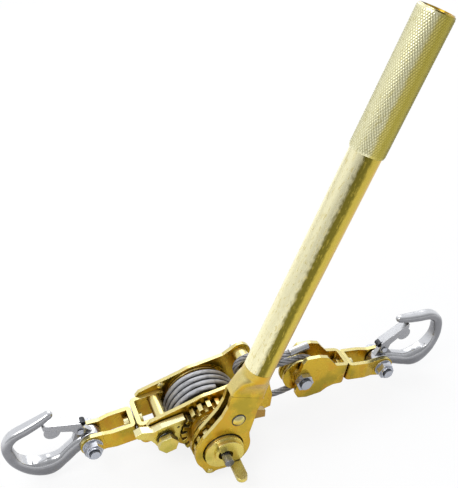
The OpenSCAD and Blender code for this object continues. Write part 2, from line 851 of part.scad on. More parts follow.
module knob() {
    step_y = knob_back - knob_base;
    color(gold) in_winch() difference() {
        union() {
            rod([0, 0], step_y, knob_back, knob_r);
            slab(knob_front, step_y + 0.5) intersection() {
                circle(knob_r - 1.5);
                translate([-4, -12]) square(2 * knob_r);
            }
            slab(knob_front + 2.5, step_y + 0.5) circle(recess_r + 3);
            translate([tab_at[0], 0, tab_at[1]]) rotate([0, 12, 0]) linear_extrude(tab_t) {
                translate([-tab_half, step_y - tab_len]) square([2 * tab_half, tab_len + 0.5]);
                translate([0, step_y - tab_len]) circle(tab_half);
            }
        }
        rod([0, 0], knob_front - 1, step_y + 3, recess_r);
        rod([0, 0], knob_front - 1, knob_back + 1, centre_bolt_r + fit);
    }
}

module centre_bolt() {
    color(silver) in_winch() {
        rod([0, 0], knob_front - 9, gear_y + 12, centre_bolt_r);
    }
}

// ---- Yokes: each swivels on a rivet and carries a hook bolt. Local +X points at the hook ----

web_gap = 1;
yoke_round = 4;
joggle_from = 24;
joggle_to = 34;

function arc(centre, r, from, to, steps) =
    [for (i = [0:steps]) let (a = from + (to - from) * i / steps) centre + r * [cos(a), sin(a)]];

// The yoke from above: its legs bend in from the web's width to the hook's eye
module yoke_plan() {
    half = yoke_w / 2;
    x_end = 2 * yoke_reach;
    in = half - strip_t;
    polygon(concat(
        arc([web_gap + yoke_round, half - yoke_round], yoke_round, 90, 180, 6),
        arc([web_gap + yoke_round, -half + yoke_round], yoke_round, 180, 270, 6),
        [
            [joggle_from, -half], [joggle_to, -eye_out], [x_end, -eye_out], [x_end, -eye_in],
            [joggle_to, -eye_in], [joggle_from, -in], [web_gap + strip_t, -in], [web_gap + strip_t, in],
            [joggle_from, in], [joggle_to, eye_in], [x_end, eye_in], [x_end, eye_out], [joggle_to, eye_out],
            [joggle_from, half],
        ]
    ));
}

module yoke() {
    half = yoke_w / 2;
    difference() {
        intersection() {
            translate([0, 0, -yoke_h]) linear_extrude(2 * yoke_h) yoke_plan();
            slab(-half, half) {
                translate([0, -yoke_h / 2]) square([joggle_to, yoke_h]);
                polygon([
                    [joggle_to - 1, -yoke_h / 2], [joggle_to - 1, yoke_h / 2],
                    [yoke_reach, yoke_eye_r], [yoke_reach, -yoke_eye_r],
                ]);
                translate([yoke_reach, 0]) circle(yoke_eye_r);
            }
        }
        rotate([0, 90, 0]) cylinder(r = swivel_r + fit, h = 3 * strip_t);
        rod([yoke_reach, 0], -half - 1, half + 1, hook_bolt_r);
    }
}

// A rivet along +X: its shank fills the fixed web and passes the yoke's web, with a head at each end
module swivel_rivet() {
    head_r = swivel_r + 2.5;
    rotate([0, 90, 0]) {
        translate([0, 0, -strip_t - 3.5]) cylinder(r = head_r, h = 3.5);
        translate([0, 0, -strip_t]) cylinder(r = swivel_r, h = 2 * strip_t + web_gap + gap);
        translate([0, 0, strip_t + web_gap + gap]) cylinder(r = head_r, h = 5);
    }
}

washer_t = 1.6;
nut_t = 7;

// A bolt through the yoke's eye, its head on the far side and a collared nut on the near side
module hook_bolt() {
    nut_y = -eye_out - washer_t;
    rod([yoke_reach, 0], nut_y - nut_t - 4, eye_out + washer_t, hook_bolt_r);
    hexagon([yoke_reach, 0], eye_out + washer_t, eye_out + washer_t + 5, 15);
    difference() {
        union() {
            hexagon([yoke_reach, 0], nut_y - nut_t, nut_y, 16);
            rod([yoke_reach, 0], nut_y - nut_t - 2, nut_y - nut_t, 7);
        }
        rod([yoke_reach, 0], nut_y - nut_t - 3, nut_y + 1, hook_bolt_r);
    }
}

// Washers outside the yoke's eyes
module eye_washers() {
    for (s = [0, 1]) mirror([0, s, 0]) difference() {
        rod([yoke_reach, 0], eye_out, eye_out + washer_t, hook_bolt_r + 5);
        rod([yoke_reach, 0], eye_out - 1, eye_out + washer_t + 1, hook_bolt_r);
    }
}

module rear_swivel_rivet() {
    color(silver) in_rear() swivel_rivet();
}

module rear_yoke() {
    color(gold) in_rear() yoke();
}

module rear_hook_bolt() {
    color(silver) in_rear() hook_bolt();
}

module rear_washers() {
    color(silver) in_rear() eye_washers();
}

module front_swivel_rivet() {
    color(silver) in_front() swivel_rivet();
}

module front_yoke() {
    color(gold) in_front() yoke();
}

module front_hook_bolt() {
    color(silver) in_front() hook_bolt();
}

module front_washers() {
    color(silver) in_front() eye_washers();
}

// ---- Hooks: forged, with the bolt at the local origin and +X towards the hook's far end ----

eye_outer_r = 11.5;

// Middle line of the hook: x, z, half its depth in the hook's plane, half its width along Y
hook_line = [
    [2, 2, 8, 6.2], [10, 0, 8, 6.5], [19, -5, 7.6, 6.7], [30, -12.5, 7.8, 7.2], [44, -16.8, 10.9, 8],
    [59, -11.5, 8.4, 7.8], [71, 1.5, 5.9, 7], [75.3, 16, 5.3, 6.2], [75, 26.5, 4.8, 5.4], [67, 35, 4.4, 5],
    [54, 39.3, 4.1, 4.7], [41.5, 43.6, 3.9, 4.4], [31.5, 47.8, 3.5, 3.9], [27.6, 49.4, 1.7, 2],
];
hook_steps = 3;
hook_sides = 14;

function spline(a, b, c, d, t) = 0.5 * (
    2 * b + (c - a) * t + (2 * a - 5 * b + 4 * c - d) * t * t + (3 * b - a - 3 * c + d) * t * t * t
);
function clamp_index(i) = max(0, min(len(hook_line) - 1, i));
function hook_point(u) =
    let (i = min(floor(u), len(hook_line) - 2), t = u - i)
    spline(
        hook_line[clamp_index(i - 1)], hook_line[i], hook_line[i + 1], hook_line[clamp_index(i + 2)], t
    );
function soft(v) = sign(v) * pow(abs(v), 0.8);
function hook_ring(u) =
    let (
        p = hook_point(u),
        q = hook_point(min(u + 0.05, len(hook_line) - 1)),
        o = hook_point(max(u - 0.05, 0)),
        a = atan2(q[1] - o[1], q[0] - o[0]),
        up = [-sin(a), 0, cos(a)]
    )
    [for (j = [0:hook_sides - 1]) let (b = 360 * j / hook_sides)
        [p[0], 0, p[1]] + p[2] * soft(cos(b)) * up + [0, p[3] * soft(sin(b)), 0]];

latch_pin_r = 2;
lug_half = 3;

module hook() {
    rings = (len(hook_line) - 1) * hook_steps + 1;
    pts = [for (k = [0:rings - 1]) each hook_ring(k / hook_steps)];
    difference() {
        union() {
            polyhedron(pts, ring_faces(rings, hook_sides));
            rod([0, 0], -hook_t / 2, hook_t / 2, eye_outer_r);
            slab(-lug_half, lug_half) {
                translate(latch_pin_at) circle(4.5);
                polygon([[-6, 8], [2.6, 19], [11.4, 18], [18, 2], [4, -2]]);
            }
        }
        rod([0, 0], -hook_t, hook_t, hook_bolt_r + fit);
        rod(latch_pin_at, -hook_t, hook_t, latch_pin_r);
        rod([seat_x, seat_z], -hook_t, hook_t, seat_r);
    }
}

latch_in = 3.5;
latch_t = 1.5;
lobe_t = 0.8;
latch_tip = [39.5, 37.5];

module latch_pin() {
    rod(latch_pin_at, -latch_in - latch_t - 1, latch_in + latch_t + 1, latch_pin_r);
    for (s = [-1, 1]) {
        y = s * (latch_in + latch_t + 1.1);
        rod(latch_pin_at, y - 0.7, y + 0.7, latch_pin_r + 1);
    }
}

// A bent sheet keeper: two cheeks on the pin, a lobe on each, and a strip that reaches the hook's tip
module latch() {
    out = latch_in + latch_t;
    difference() {
        union() {
            for (s = [-1, 1]) slab(s > 0 ? latch_in : -out, s > 0 ? out : -latch_in) {
                translate(latch_pin_at) circle(5);
                polygon([
                    [2, 19], [5, 26.5], latch_tip + [0, 1], latch_tip + [0, -3], [24, 25.5], [15, 21.5],
                    [11, 15],
                ]);
            }
            for (s = [-1, 1]) slab(s * latch_in - lobe_t, s * latch_in + lobe_t) intersection() {
                translate([32.5, 27.5]) circle(7.8);
                polygon([[20, 15], [50, 15], [50, 41], [20, 30]]);
            }
            slab(-out, out) polygon([[4.6, 26.2], [5, 27.8], latch_tip + [0.5, 1.8], latch_tip + [0.5, 0.2]]);
        }
        rod(latch_pin_at, -out - 1, out + 1, latch_pin_r + fit);
    }
}

module rear_hook() {
    color(silver) in_rear_hook() hook();
}

module rear_latch_pin() {
    color(silver) in_rear_hook() latch_pin();
}

module rear_latch() {
    color(silver) in_rear_hook() latch();
}

module front_hook() {
    color(silver) in_front_hook() hook();
}

module front_latch_pin() {
    color(silver) in_front_hook() latch_pin();
}

module front_latch() {
    color(silver) in_front_hook() latch();
}

// ---- Sheave block: in the front swivel's frame, +X towards the load hook ----

block_half = block_w / 2;
bolt_in_block = [-block_reach, 0];
hub_w = block_w - 2 * strip_t - 2 * gap;

// Outline of a side plate: a lobe over the sheave, a heel below it and a nose at the web
module block_outline() {
    translate(bolt_in_block) polygon([
        [-8.5, 4], [-5.5, 11], [-4.5, 21], [-1, 27], [14, 28], [24, 26], [31, 19], [37, 13.5],
        [block_reach, 12],
        [block_reach, -12], [40, -13], [33, -16], [26, -22], [10, -26], [0, -25], [-4, -20], [-5.5, -8],
    ]);
}

module block_frame() {
    color(gold) in_front() difference() {
        intersection() {
            translate([0, 0, -40]) linear_extrude(80) mirror([1, 0])
                bent_outline(0, block_reach + 30, block_half, 6.5);
            slab(-block_half, block_half) block_outline();
        }
        rod(bolt_in_block, -block_half - 1, block_half + 1, sheave_bolt_r);
        rotate([0, 90, 0]) cylinder(r = swivel_r, h = 3 * strip_t, center = true);
    }
}

module block_rope() {
    color(rope_grey) rope_bend(sheave_at, sheave_rope_r, lower_angle - 90, upper_angle + 90);
}

module sheave_bolt() {
    color(silver) in_front() {
        rod(bolt_in_block, -block_half - bolt_end, block_half, sheave_bolt_r);
        hexagon(bolt_in_block, block_half, block_half + 5, 17);
        difference() {
            hexagon(bolt_in_block, -block_half - 6, -block_half, 17);
            rod(bolt_in_block, -block_half - 7, -block_half + 1, sheave_bolt_r);
        }
    }
}

bore_r = sheave_bolt_r + fit;

module sheave() {
    color(gold) translate([sheave_at[0], 0, sheave_at[1]]) rotate([90, 0, 0]) rotate_extrude() difference() {
        union() {
            translate([bore_r, -sheave_w / 2]) square([sheave_r - bore_r, sheave_w]);
            translate([bore_r, -hub_w / 2]) square([hub_wall, hub_w]);
        }
        translate([sheave_rope_r, 0]) circle(rope_r + gap);
        translate([sheave_rope_r, -rope_r - gap]) square([sheave_r, 2 * (rope_r + gap)]);
    }
}

near_plate();
far_plate();
rear_strap();
frame_rivets();
rear_spacer();
guard_band();
anchor_sleeve();
anchor_bolt();
axle_bushes();
pawl_bolt();
pawl_bush();
pawl_spring();
rope_eye();
ferrule();
end_sleeve();
upper_strand();
lower_strand();
drum();
winding();
rope_clamp();
axle();
axle_clip();
ratchet_wheel();
hub_spacer();
drive_gear();
outer_fork_plate();
inner_fork_plate();
handle_socket();
fork_rivets();
fork_bush();
drive_pawl_pin();
drive_pawl_spring();
handle_tube();
grip();
handle_plug();
drive_pawl();
holding_pawl();
knob();
centre_bolt();
rear_swivel_rivet();
rear_yoke();
rear_hook_bolt();
rear_washers();
rear_hook();
rear_latch_pin();
rear_latch();
front_swivel_rivet();
front_yoke();
front_hook_bolt();
front_washers();
front_hook();
front_latch_pin();
front_latch();
block_frame();
block_rope();
sheave_bolt();
sheave();
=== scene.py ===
"""Dresses the hand-lever rope puller: laid rope, knurled grip, forged hooks and plated finishes."""

from __future__ import annotations

import logging
import math
from dataclasses import dataclass
from enum import Enum
from typing import Iterable, Sequence

import bmesh
import bpy
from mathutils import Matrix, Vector

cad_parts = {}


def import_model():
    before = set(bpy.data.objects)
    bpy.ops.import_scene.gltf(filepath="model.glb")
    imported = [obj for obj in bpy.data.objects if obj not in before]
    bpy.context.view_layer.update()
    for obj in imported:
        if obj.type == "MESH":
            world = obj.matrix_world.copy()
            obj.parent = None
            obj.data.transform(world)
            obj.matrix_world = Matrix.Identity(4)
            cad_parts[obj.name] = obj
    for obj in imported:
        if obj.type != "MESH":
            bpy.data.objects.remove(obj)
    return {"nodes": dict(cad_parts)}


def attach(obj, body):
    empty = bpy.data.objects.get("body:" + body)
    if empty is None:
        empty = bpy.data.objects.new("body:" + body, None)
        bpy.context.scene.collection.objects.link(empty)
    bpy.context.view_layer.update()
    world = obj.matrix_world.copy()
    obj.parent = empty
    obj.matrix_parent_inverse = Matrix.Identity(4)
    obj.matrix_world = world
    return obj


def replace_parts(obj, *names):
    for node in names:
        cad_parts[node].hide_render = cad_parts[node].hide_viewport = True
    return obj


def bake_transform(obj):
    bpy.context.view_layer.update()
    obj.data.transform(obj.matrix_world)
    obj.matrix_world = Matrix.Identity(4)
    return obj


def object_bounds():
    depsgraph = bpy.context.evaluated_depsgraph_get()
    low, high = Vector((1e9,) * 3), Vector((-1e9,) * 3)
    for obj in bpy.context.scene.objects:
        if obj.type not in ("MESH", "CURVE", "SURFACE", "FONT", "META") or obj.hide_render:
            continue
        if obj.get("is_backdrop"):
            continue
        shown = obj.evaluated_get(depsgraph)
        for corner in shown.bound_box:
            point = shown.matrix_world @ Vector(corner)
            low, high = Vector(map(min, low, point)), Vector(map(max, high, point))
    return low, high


LOG = logging.getLogger("puller")
MM = 0.001
Point = tuple[float, float]
Band = tuple[float, float]


# ---- shader graphs


class Value:
    """A number in a shader, with the operators that add its Math nodes."""

    def __init__(self, graph: "Tree", socket: bpy.types.NodeSocket) -> None:
        """Keeps the graph and the output socket."""
        self.graph = graph
        self.socket = socket

    def _maths(self, operation: str, *others: "Value | float") -> "Value":
        """Adds one Math node.

        Args:
            operation: Blender's name of the operation.
            *others: the operands, self among them.

        Returns:
            The node's result.
        """
        settings = {"operation": operation}
        return self.graph.number("ShaderNodeMath", settings, dict(enumerate(others)))

    def __add__(self, other: "Value | float") -> "Value":
        """self + other."""
        return self._maths("ADD", self, other)

    __radd__ = __add__

    def __mul__(self, other: "Value | float") -> "Value":
        """self * other."""
        return self._maths("MULTIPLY", self, other)

    __rmul__ = __mul__

    def __sub__(self, other: "Value | float") -> "Value":
        """self - other."""
        return self._maths("SUBTRACT", self, other)

    def __rsub__(self, other: float) -> "Value":
        """other - self."""
        return self._maths("SUBTRACT", other, self)

    def sine(self) -> "Value":
        """The sine of self, in radians."""
        return self._maths("SINE", self)

    def clamped(self) -> "Value":
        """self, kept from 0 to 1."""
        return self._maths("MINIMUM", self._maths("MAXIMUM", self, 0.0), 1.0)

    def stepped(self, low: float, high: float) -> "Value":
        """0 below low and 1 above high, smooth between them."""
        return self.graph.number(
            "ShaderNodeMapRange",
            {"interpolation_type": "SMOOTHSTEP"},
            {"Value": self, "From Min": low, "From Max": high},
        )


class Tree:
    """A node tree and the calls that fill it."""

    def __init__(self, tree: bpy.types.NodeTree, output: str) -> None:
        """Empties the tree and adds its output node, of the type given."""
        self.tree = tree
        self.tree.nodes.clear()
        self.output = self.node(output)

    def put(self, socket: bpy.types.NodeSocket, value: object) -> None:
        """Links a value or a socket to an input, or sets the input to a plain value.

        Args:
            socket: the input.
            value: what goes in. A colour of three numbers gets its alpha.
        """
        if isinstance(value, Value):
            value = value.socket
        if isinstance(value, bpy.types.NodeSocket):
            self.tree.links.new(value, socket)
        elif socket.type == "RGBA" and len(value) == 3:
            socket.default_value = (*value, 1.0)
        else:
            socket.default_value = value

    def node(
        self, kind: str, settings: dict | None = None, inputs: dict | None = None
    ) -> bpy.types.Node:
        """Adds a node, sets its settings first and then its sockets.

        Args:
            kind: the node's type.
            settings: its own settings, such as an operation.
            inputs: the value or link of each socket, by name or number.

        Returns:
            The node.
        """
        made = self.tree.nodes.new(kind)
        for name, value in (settings or {}).items():
            setattr(made, name, value)
        for name, value in (inputs or {}).items():
            self.put(made.inputs[name], value)
        return made

    def number(self, kind: str, settings: dict, inputs: dict, output: int | str = 0) -> Value:
        """Adds a node and gives one of its outputs as a number."""
        return Value(self, self.node(kind, settings, inputs).outputs[output])

    def stand(self, made: bpy.types.Node) -> None:
        """Makes a node's first output the tree's surface."""
        self.put(self.output.inputs[0], made.outputs[0])


class Graph(Tree):
    """The node tree of one material."""

    MIX_FACTOR, MIX_LOW, MIX_HIGH, MIX_RESULT = 0, 6, 7, 2
    SAMPLES = 6

    def __init__(self, name: str) -> None:
        """Makes the material and its shader."""
        self.material = bpy.data.materials.new(name)
        self.material.use_nodes = True
        super().__init__(self.material.node_tree, "ShaderNodeOutputMaterial")
        self.shader = self.node("ShaderNodeBsdfPrincipled")
        self.stand(self.shader)

    def place(self) -> bpy.types.NodeSocket:
        """The point on the piece, in its own coordinates."""
        return self.node("ShaderNodeTexCoord").outputs["Object"]

    def noise(
        self, scale: float, detail: float = 2.0, stretch: Sequence[float] = (1, 1, 1),
        turn: float = 0.0,
    ) -> Value:
        """Noise over the piece.

        Args:
            scale: how fine it is, in waves a metre.
            detail: how many finer layers it has.
            stretch: the scale along each axis.
            turn: how far the pattern is turned about Y first, in radians.

        Returns:
            The noise, from 0 to 1.
        """
        place = {"Vector": self.place(), "Rotation": (0.0, turn, 0.0)}
        turned = self.node("ShaderNodeMapping", {}, place)
        place = {"Vector": turned.outputs[0], "Scale": stretch}
        mapped = self.node("ShaderNodeMapping", {}, place)
        inputs = {"Vector": mapped.outputs[0], "Scale": scale, "Detail": detail}
        return self.number("ShaderNodeTexNoise", {}, inputs, "Fac")

    def blend(
        self, factor: Value | float, low: object, high: object, way: str = "MIX"
    ) -> bpy.types.NodeSocket:
        """Mixes two colours.

        Args:
            factor: 0 gives low and 1 gives high.
            low: a colour or its socket.
            high: a colour or its socket.
            way: how they mix.

        Returns:
            The mixed colour.
        """
        settings = {"data_type": "RGBA", "blend_type": way}
        inputs = {self.MIX_FACTOR: factor, self.MIX_LOW: low, self.MIX_HIGH: high}
        return self.node("ShaderNodeMix", settings, inputs).outputs[self.MIX_RESULT]

    def facing(self, axis: int) -> Value:
        """How far the surface faces along an axis, from -1 to 1."""
        normal = self.node("ShaderNodeNewGeometry").outputs["True Normal"]
        split = self.node("ShaderNodeSeparateXYZ", {}, {0: normal})
        return Value(self, split.outputs[axis])

    def corner_shade_mask(self, reach: float) -> Value:
        """How deep in a corner the surface lies, from 0 to 1: the mask where shade is painted."""
        settings = {"samples": self.SAMPLES}
        return 1.0 - self.number("ShaderNodeAmbientOcclusion", settings, {"Distance": reach}, "AO")

    def rounded(self, radius: float) -> bpy.types.NodeSocket:
        """Normals that round the sharp edges over."""
        settings = {"samples": self.SAMPLES}
        return self.node("ShaderNodeBevel", settings, {"Radius": radius}).outputs[0]

    def bump(
        self, height: Value, distance: float, strength: float, under: object = None
    ) -> bpy.types.NodeSocket:
        """A bumped normal.

        Args:
            height: the height, in units of distance.
            distance: how far a height of 1 stands out, in metres.
            strength: how much of it shows.
            under: the normal that it bends.

        Returns:
            The normal.
        """
        inputs = {"Height": height, "Distance": distance, "Strength": strength}
        if under is not None:
            inputs["Normal"] = under
        return self.node("ShaderNodeBump", {}, inputs).outputs[0]

    def finish(self, **sockets: object) -> bpy.types.Material:
        """Sets the shader's sockets by name, with _ for a space.

        Args:
            **sockets: a value, a colour or a link for each.

        Returns:
            The finished material.
        """
        for name, value in sockets.items():
            self.put(self.shader.inputs[name.replace("_", " ")], value)
        return self.material


# ---- places


@dataclass(frozen=True)
class Place:
    """A turned frame in the XZ plane, in millimetres, as the CAD source has it."""

    x: float
    z: float
    pitch: float
    mirrored: bool = False

    def at(self, x: float, y: float, z: float) -> Vector:
        """A local point in millimetres, as a point of the row frame in metres."""
        a = math.radians(self.pitch)
        u, w = x * math.cos(a) - z * math.sin(a), x * math.sin(a) + z * math.cos(a)
        return Vector((self.x + (-u if self.mirrored else u), y, self.z + w)) * MM

    @property
    def origin(self) -> Point:
        """Its origin in the XZ plane, in millimetres."""
        return self.x, self.z


WINCH = Place(166.234, -8.872, 12.1)
HANDLE = Place(166.234, -8.872, 67.1)
REAR_HOOK = Place(50.356, -10.513, -4.0, True)
FRONT_HOOK = Place(371.059, -17.596, 12.0)
SHEAVE: Point = (272.734, 0.628)
HANDLE_RIVET: Point = (181.942, 25.744)
HANDLE_TURN = math.radians(HANDLE.pitch - 90.0)


# ---- finishes

Colour = tuple[float, float, float]
# Painted shade: the dark colours laid into corners, on the plating and on the grey metals.
GOLD_CORNER_SHADE: Colour = (0.085, 0.06, 0.005)
GREY_CORNER_SHADE: Colour = (0.03, 0.031, 0.034)
PLATE_METALLIC = 0.93
GRAIN_DEPTH = 0.0001  # metres that the plating's grain stands out
UP = 2  # the axis that points up
MIDDLE = 0.5  # the mean of a noise


@dataclass(frozen=True)
class PlatedSheet:
    """Yellow zinc chromate: gold that drifts to olive and orange, with a painted highlight where it
    faces up and painted shade in its hollows and corners.
    """

    name: str
    gold: Colour
    olive: Colour
    orange: Colour
    # The highlight colour is the painted highlight on faces that look up.
    pale: Colour
    highlight_share: float = 0.85
    roughness: float = 0.27
    edge: float = 0.0007
    olive_band: Band = (0.48, 0.66)
    orange_band: Band = (0.5, 0.68)
    highlight_band: Band = (0.05, 0.85)

    def build(self) -> bpy.types.Material:
        """Makes the material."""
        g = Graph(self.name)
        drift = g.noise(scale=34.0, detail=4.0)
        cloud = g.noise(scale=75.0, detail=4.0, stretch=(1.0, 1.0, 0.6))
        body = g.blend(drift.stepped(*self.olive_band) * 0.75, self.gold, self.olive)
        body = g.blend(cloud.stepped(*self.orange_band) * 0.6, body, self.orange)
        # Painted highlight: faces that look up turn toward the highlight colour, as if lit from
        # above.
        up = g.facing(UP).stepped(*self.highlight_band) * self.highlight_share
        colour = g.blend(up, body, self.pale)
        # Painted shade: hollows are multiplied toward olive and corners turn dark, by ambient
        # occlusion.
        hollow_shade, corner = g.corner_shade_mask(reach=0.02), g.corner_shade_mask(reach=0.0035)
        colour = g.blend(hollow_shade.stepped(0.3, 0.85) * 0.72, colour, self.olive, "MULTIPLY")
        colour = g.blend(corner.stepped(0.3, 0.9) * 0.9, colour, GOLD_CORNER_SHADE)
        fine = g.noise(scale=2600.0)
        pits = g.noise(scale=420.0, detail=3.0)
        height = fine * 0.25 + pits
        normal = g.bump(height, GRAIN_DEPTH, strength=0.16, under=g.rounded(self.edge))
        rough = self.roughness + (cloud - MIDDLE) * 0.16
        return g.finish(
            Base_Color=colour, Metallic=PLATE_METALLIC, Roughness=rough, Normal=normal,
            Coat_Weight=0.25, Coat_Roughness=0.15,
        )


@dataclass(frozen=True)
class TubePlate:
    """Plating on the round of the handle, with light painted in bands: a painted highlight on the
    pale side, a grainy painted dark reflection on the front and a painted warm reflection on the
    far side.

    The edges say where a colour gives way to the next, from -1 at the far side to 1 at the pale.
    """

    name: str
    pale: Colour
    # The front colour is a painted dark reflection, and the orange is a painted warm reflection on
    # the far side.
    front: Colour
    gold: Colour
    orange: Colour
    radius: float = 0.014
    edges: tuple[float, float, float] = (-0.35, 0.12, 0.62)
    groove_shade: float = 0.0
    softness: float = 0.12  # half the width of each change
    wander: float = 0.3  # how far the noises move it

    def build(self) -> bpy.types.Material:
        """Makes the material."""
        g = Graph(self.name)
        split = g.node("ShaderNodeSeparateXYZ", {}, {0: g.place()})
        x, z = Value(g, split.outputs[0]), Value(g, split.outputs[2])
        lean = math.radians(HANDLE.pitch)
        rise, run = math.cos(lean) / self.radius, math.sin(lean) / self.radius
        across = (z - HANDLE.z * MM) * rise - (x - HANDLE.x * MM) * run
        grain = g.noise(scale=520.0, detail=3.0, stretch=(1.0, 1.0, 0.35), turn=HANDLE_TURN)
        drift = g.noise(scale=38.0, stretch=(1.0, 1.0, 0.12), turn=HANDLE_TURN)
        place = across + (grain - MIDDLE) * self.wander + (drift - MIDDLE) * self.wander
        # Painted light: bands around the tube run from the painted warm reflection through gold and
        # the painted dark front to the painted highlight.
        colour = self.orange
        for edge, after in zip(self.edges, (self.gold, self.front, self.pale)):
            change = place.stepped(edge - self.softness, edge + self.softness)
            colour = g.blend(change, colour, after)
        colour = g.blend(grain.stepped(0.54, 0.68) * 0.4, colour, self.gold)
        # Painted shade in the knurl's grooves, darkening toward the orange colour.
        if self.groove_shade:
            groove = g.number("ShaderNodeAttribute", {"attribute_name": "groove"}, {}, "Fac")
            colour = g.blend(groove.stepped(0.3, 0.95) * self.groove_shade, colour, self.orange)
        normal = g.bump(grain, GRAIN_DEPTH, strength=0.2, under=g.rounded(0.0006))
        rough = 0.25 + (grain - MIDDLE) * 0.2
        return g.finish(Base_Color=colour, Metallic=PLATE_METALLIC, Roughness=rough, Normal=normal)


@dataclass(frozen=True)
class PlainMetal:
    """A grey metal with fine grain, with a painted highlight where it faces up and painted shade in
    its corners.
    """

    name: str
    lit_colour: Colour
    shaded_colour: Colour
    roughness: float
    grain: float
    grain_depth: float
    metallic: float = 0.9
    edge: float = 0.0005

    def build(self) -> bpy.types.Material:
        """Makes the material."""
        g = Graph(self.name)
        patches = g.noise(scale=90.0, detail=3.0)
        # Painted light: faces that look up take the lit colour and the others the shaded colour,
        # with random patches mixed in.
        up = (g.facing(UP).stepped(0.0, 0.75) + (patches - MIDDLE) * 0.3).clamped()
        colour = g.blend(up, self.shaded_colour, self.lit_colour)
        # Painted shade: corners turn near black, by ambient occlusion.
        corner = g.corner_shade_mask(reach=0.005).stepped(0.3, 0.95) * 0.9
        colour = g.blend(corner, colour, GREY_CORNER_SHADE)
        fine = g.noise(self.grain, detail=3.0)
        normal = g.bump(fine, self.grain_depth, strength=0.5, under=g.rounded(self.edge))
        rough = self.roughness + (patches - MIDDLE) * 0.2
        return g.finish(Base_Color=colour, Metallic=self.metallic, Roughness=rough, Normal=normal)


@dataclass(frozen=True)
class WireRope:
    """Galvanised rope: wires along the strands, painted shade in the valleys between them and in
    its hollows, and random dirt.
    """

    name: str
    # crown is the lit colour of the strands' crowns, and valley is the painted shade between them.
    crown: Colour
    valley: Colour
    wires_around: float = 34.0
    wires_along: float = 260.0

    def build(self) -> bpy.types.Material:
        """Makes the material."""
        g = Graph(self.name)
        uv = g.node("ShaderNodeUVMap", {"uv_map": "lay"}).outputs[0]
        split = g.node("ShaderNodeSeparateXYZ", {}, {0: uv})
        around, along = Value(g, split.outputs[0]), Value(g, split.outputs[1])
        phase = around * (math.tau * self.wires_around) + along * self.wires_along
        wires = phase.sine() * 0.5 + 0.5
        # Painted light: strand crowns take the crown colour and the valleys between strands take
        # the valley colour, as painted shade.
        crown = g.number("ShaderNodeAttribute", {"attribute_name": "crown"}, {}, "Fac")
        smut = g.noise(scale=160.0, detail=3.0).stepped(0.45, 0.75) * 0.25
        # Painted shade in the rope's hollows, by ambient occlusion; the smut noise before it is
        # random dirt.
        deep = g.corner_shade_mask(reach=0.014).stepped(0.35, 0.95) * 0.5
        shade = (crown * 0.85 + wires * 0.15 - smut - deep).clamped()
        colour = g.blend(shade, self.valley, self.crown)
        normal = g.bump(wires, distance=0.00035, strength=0.7)
        return g.finish(Base_Color=colour, Metallic=0.75, Roughness=0.42, Normal=normal)


class Finish(Enum):
    """Every finish on the puller."""

    GOLD = PlatedSheet(
        "gold_plate", gold=(0.66, 0.43, 0.022), olive=(0.36, 0.28, 0.012),
        orange=(0.66, 0.33, 0.018), pale=(0.84, 0.74, 0.33),
    )
    PALE = PlatedSheet(
        "pale_plate", gold=(0.8, 0.65, 0.14), olive=(0.56, 0.48, 0.06), orange=(0.8, 0.54, 0.1),
        pale=(0.9, 0.84, 0.5),
    )
    BRONZE = PlatedSheet(
        "dark_plate", gold=(0.36, 0.2, 0.03), olive=(0.26, 0.19, 0.03), orange=(0.42, 0.2, 0.04),
        pale=(0.6, 0.45, 0.18),
    )
    TUBE = TubePlate(
        "tube_plate", pale=(0.97, 0.9, 0.56), front=(0.19, 0.155, 0.018), gold=(0.62, 0.47, 0.07),
        orange=(0.66, 0.42, 0.04),
    )
    SKIN = TubePlate(
        "grip_plate", pale=(0.97, 0.92, 0.58), front=(0.66, 0.56, 0.15), gold=(0.48, 0.4, 0.07),
        orange=(0.3, 0.25, 0.025), radius=0.0156, edges=(-0.4, 0.1, 0.4), groove_shade=0.6,
    )
    BRIGHT = PlainMetal(
        "bright_zinc", lit_colour=(0.8, 0.81, 0.85), shaded_colour=(0.5, 0.52, 0.57),
        roughness=0.2, grain=900.0, grain_depth=0.00001,
    )
    STUD = PlainMetal(
        "stud_zinc", lit_colour=(0.4, 0.4, 0.42), shaded_colour=(0.2, 0.2, 0.22),
        roughness=0.25, grain=900.0, grain_depth=0.00001,
    )
    FORGED = PlainMetal(
        "forged_zinc", lit_colour=(0.7, 0.7, 0.7), shaded_colour=(0.24, 0.24, 0.25),
        roughness=0.22, grain=500.0, grain_depth=0.00003, metallic=0.95, edge=0.0011,
    )
    SHEET = PlainMetal(
        "latch_zinc", lit_colour=(0.76, 0.76, 0.76), shaded_colour=(0.36, 0.36, 0.37),
        roughness=0.26, grain=900.0, grain_depth=0.00002,
    )
    DARK = PlainMetal(
        "dark_steel", lit_colour=(0.14, 0.145, 0.155), shaded_colour=(0.04, 0.042, 0.05),
        roughness=0.35, grain=1200.0, grain_depth=0.00005,
    )
    ROPE = WireRope("wire_rope", crown=(0.52, 0.52, 0.53), valley=(0.1, 0.1, 0.105))
    WOUND = WireRope("wound_wire", crown=(0.62, 0.62, 0.63), valley=(0.03, 0.03, 0.032))


MADE: dict[Finish, bpy.types.Material] = {}


def material(finish: Finish) -> bpy.types.Material:
    """The material of a finish, made on its first use."""
    if finish not in MADE:
        MADE[finish] = finish.value.build()
    return MADE[finish]


# ---- mesh helpers

Ring = list[bmesh.types.BMVert]
WIRE_SIDES = 10


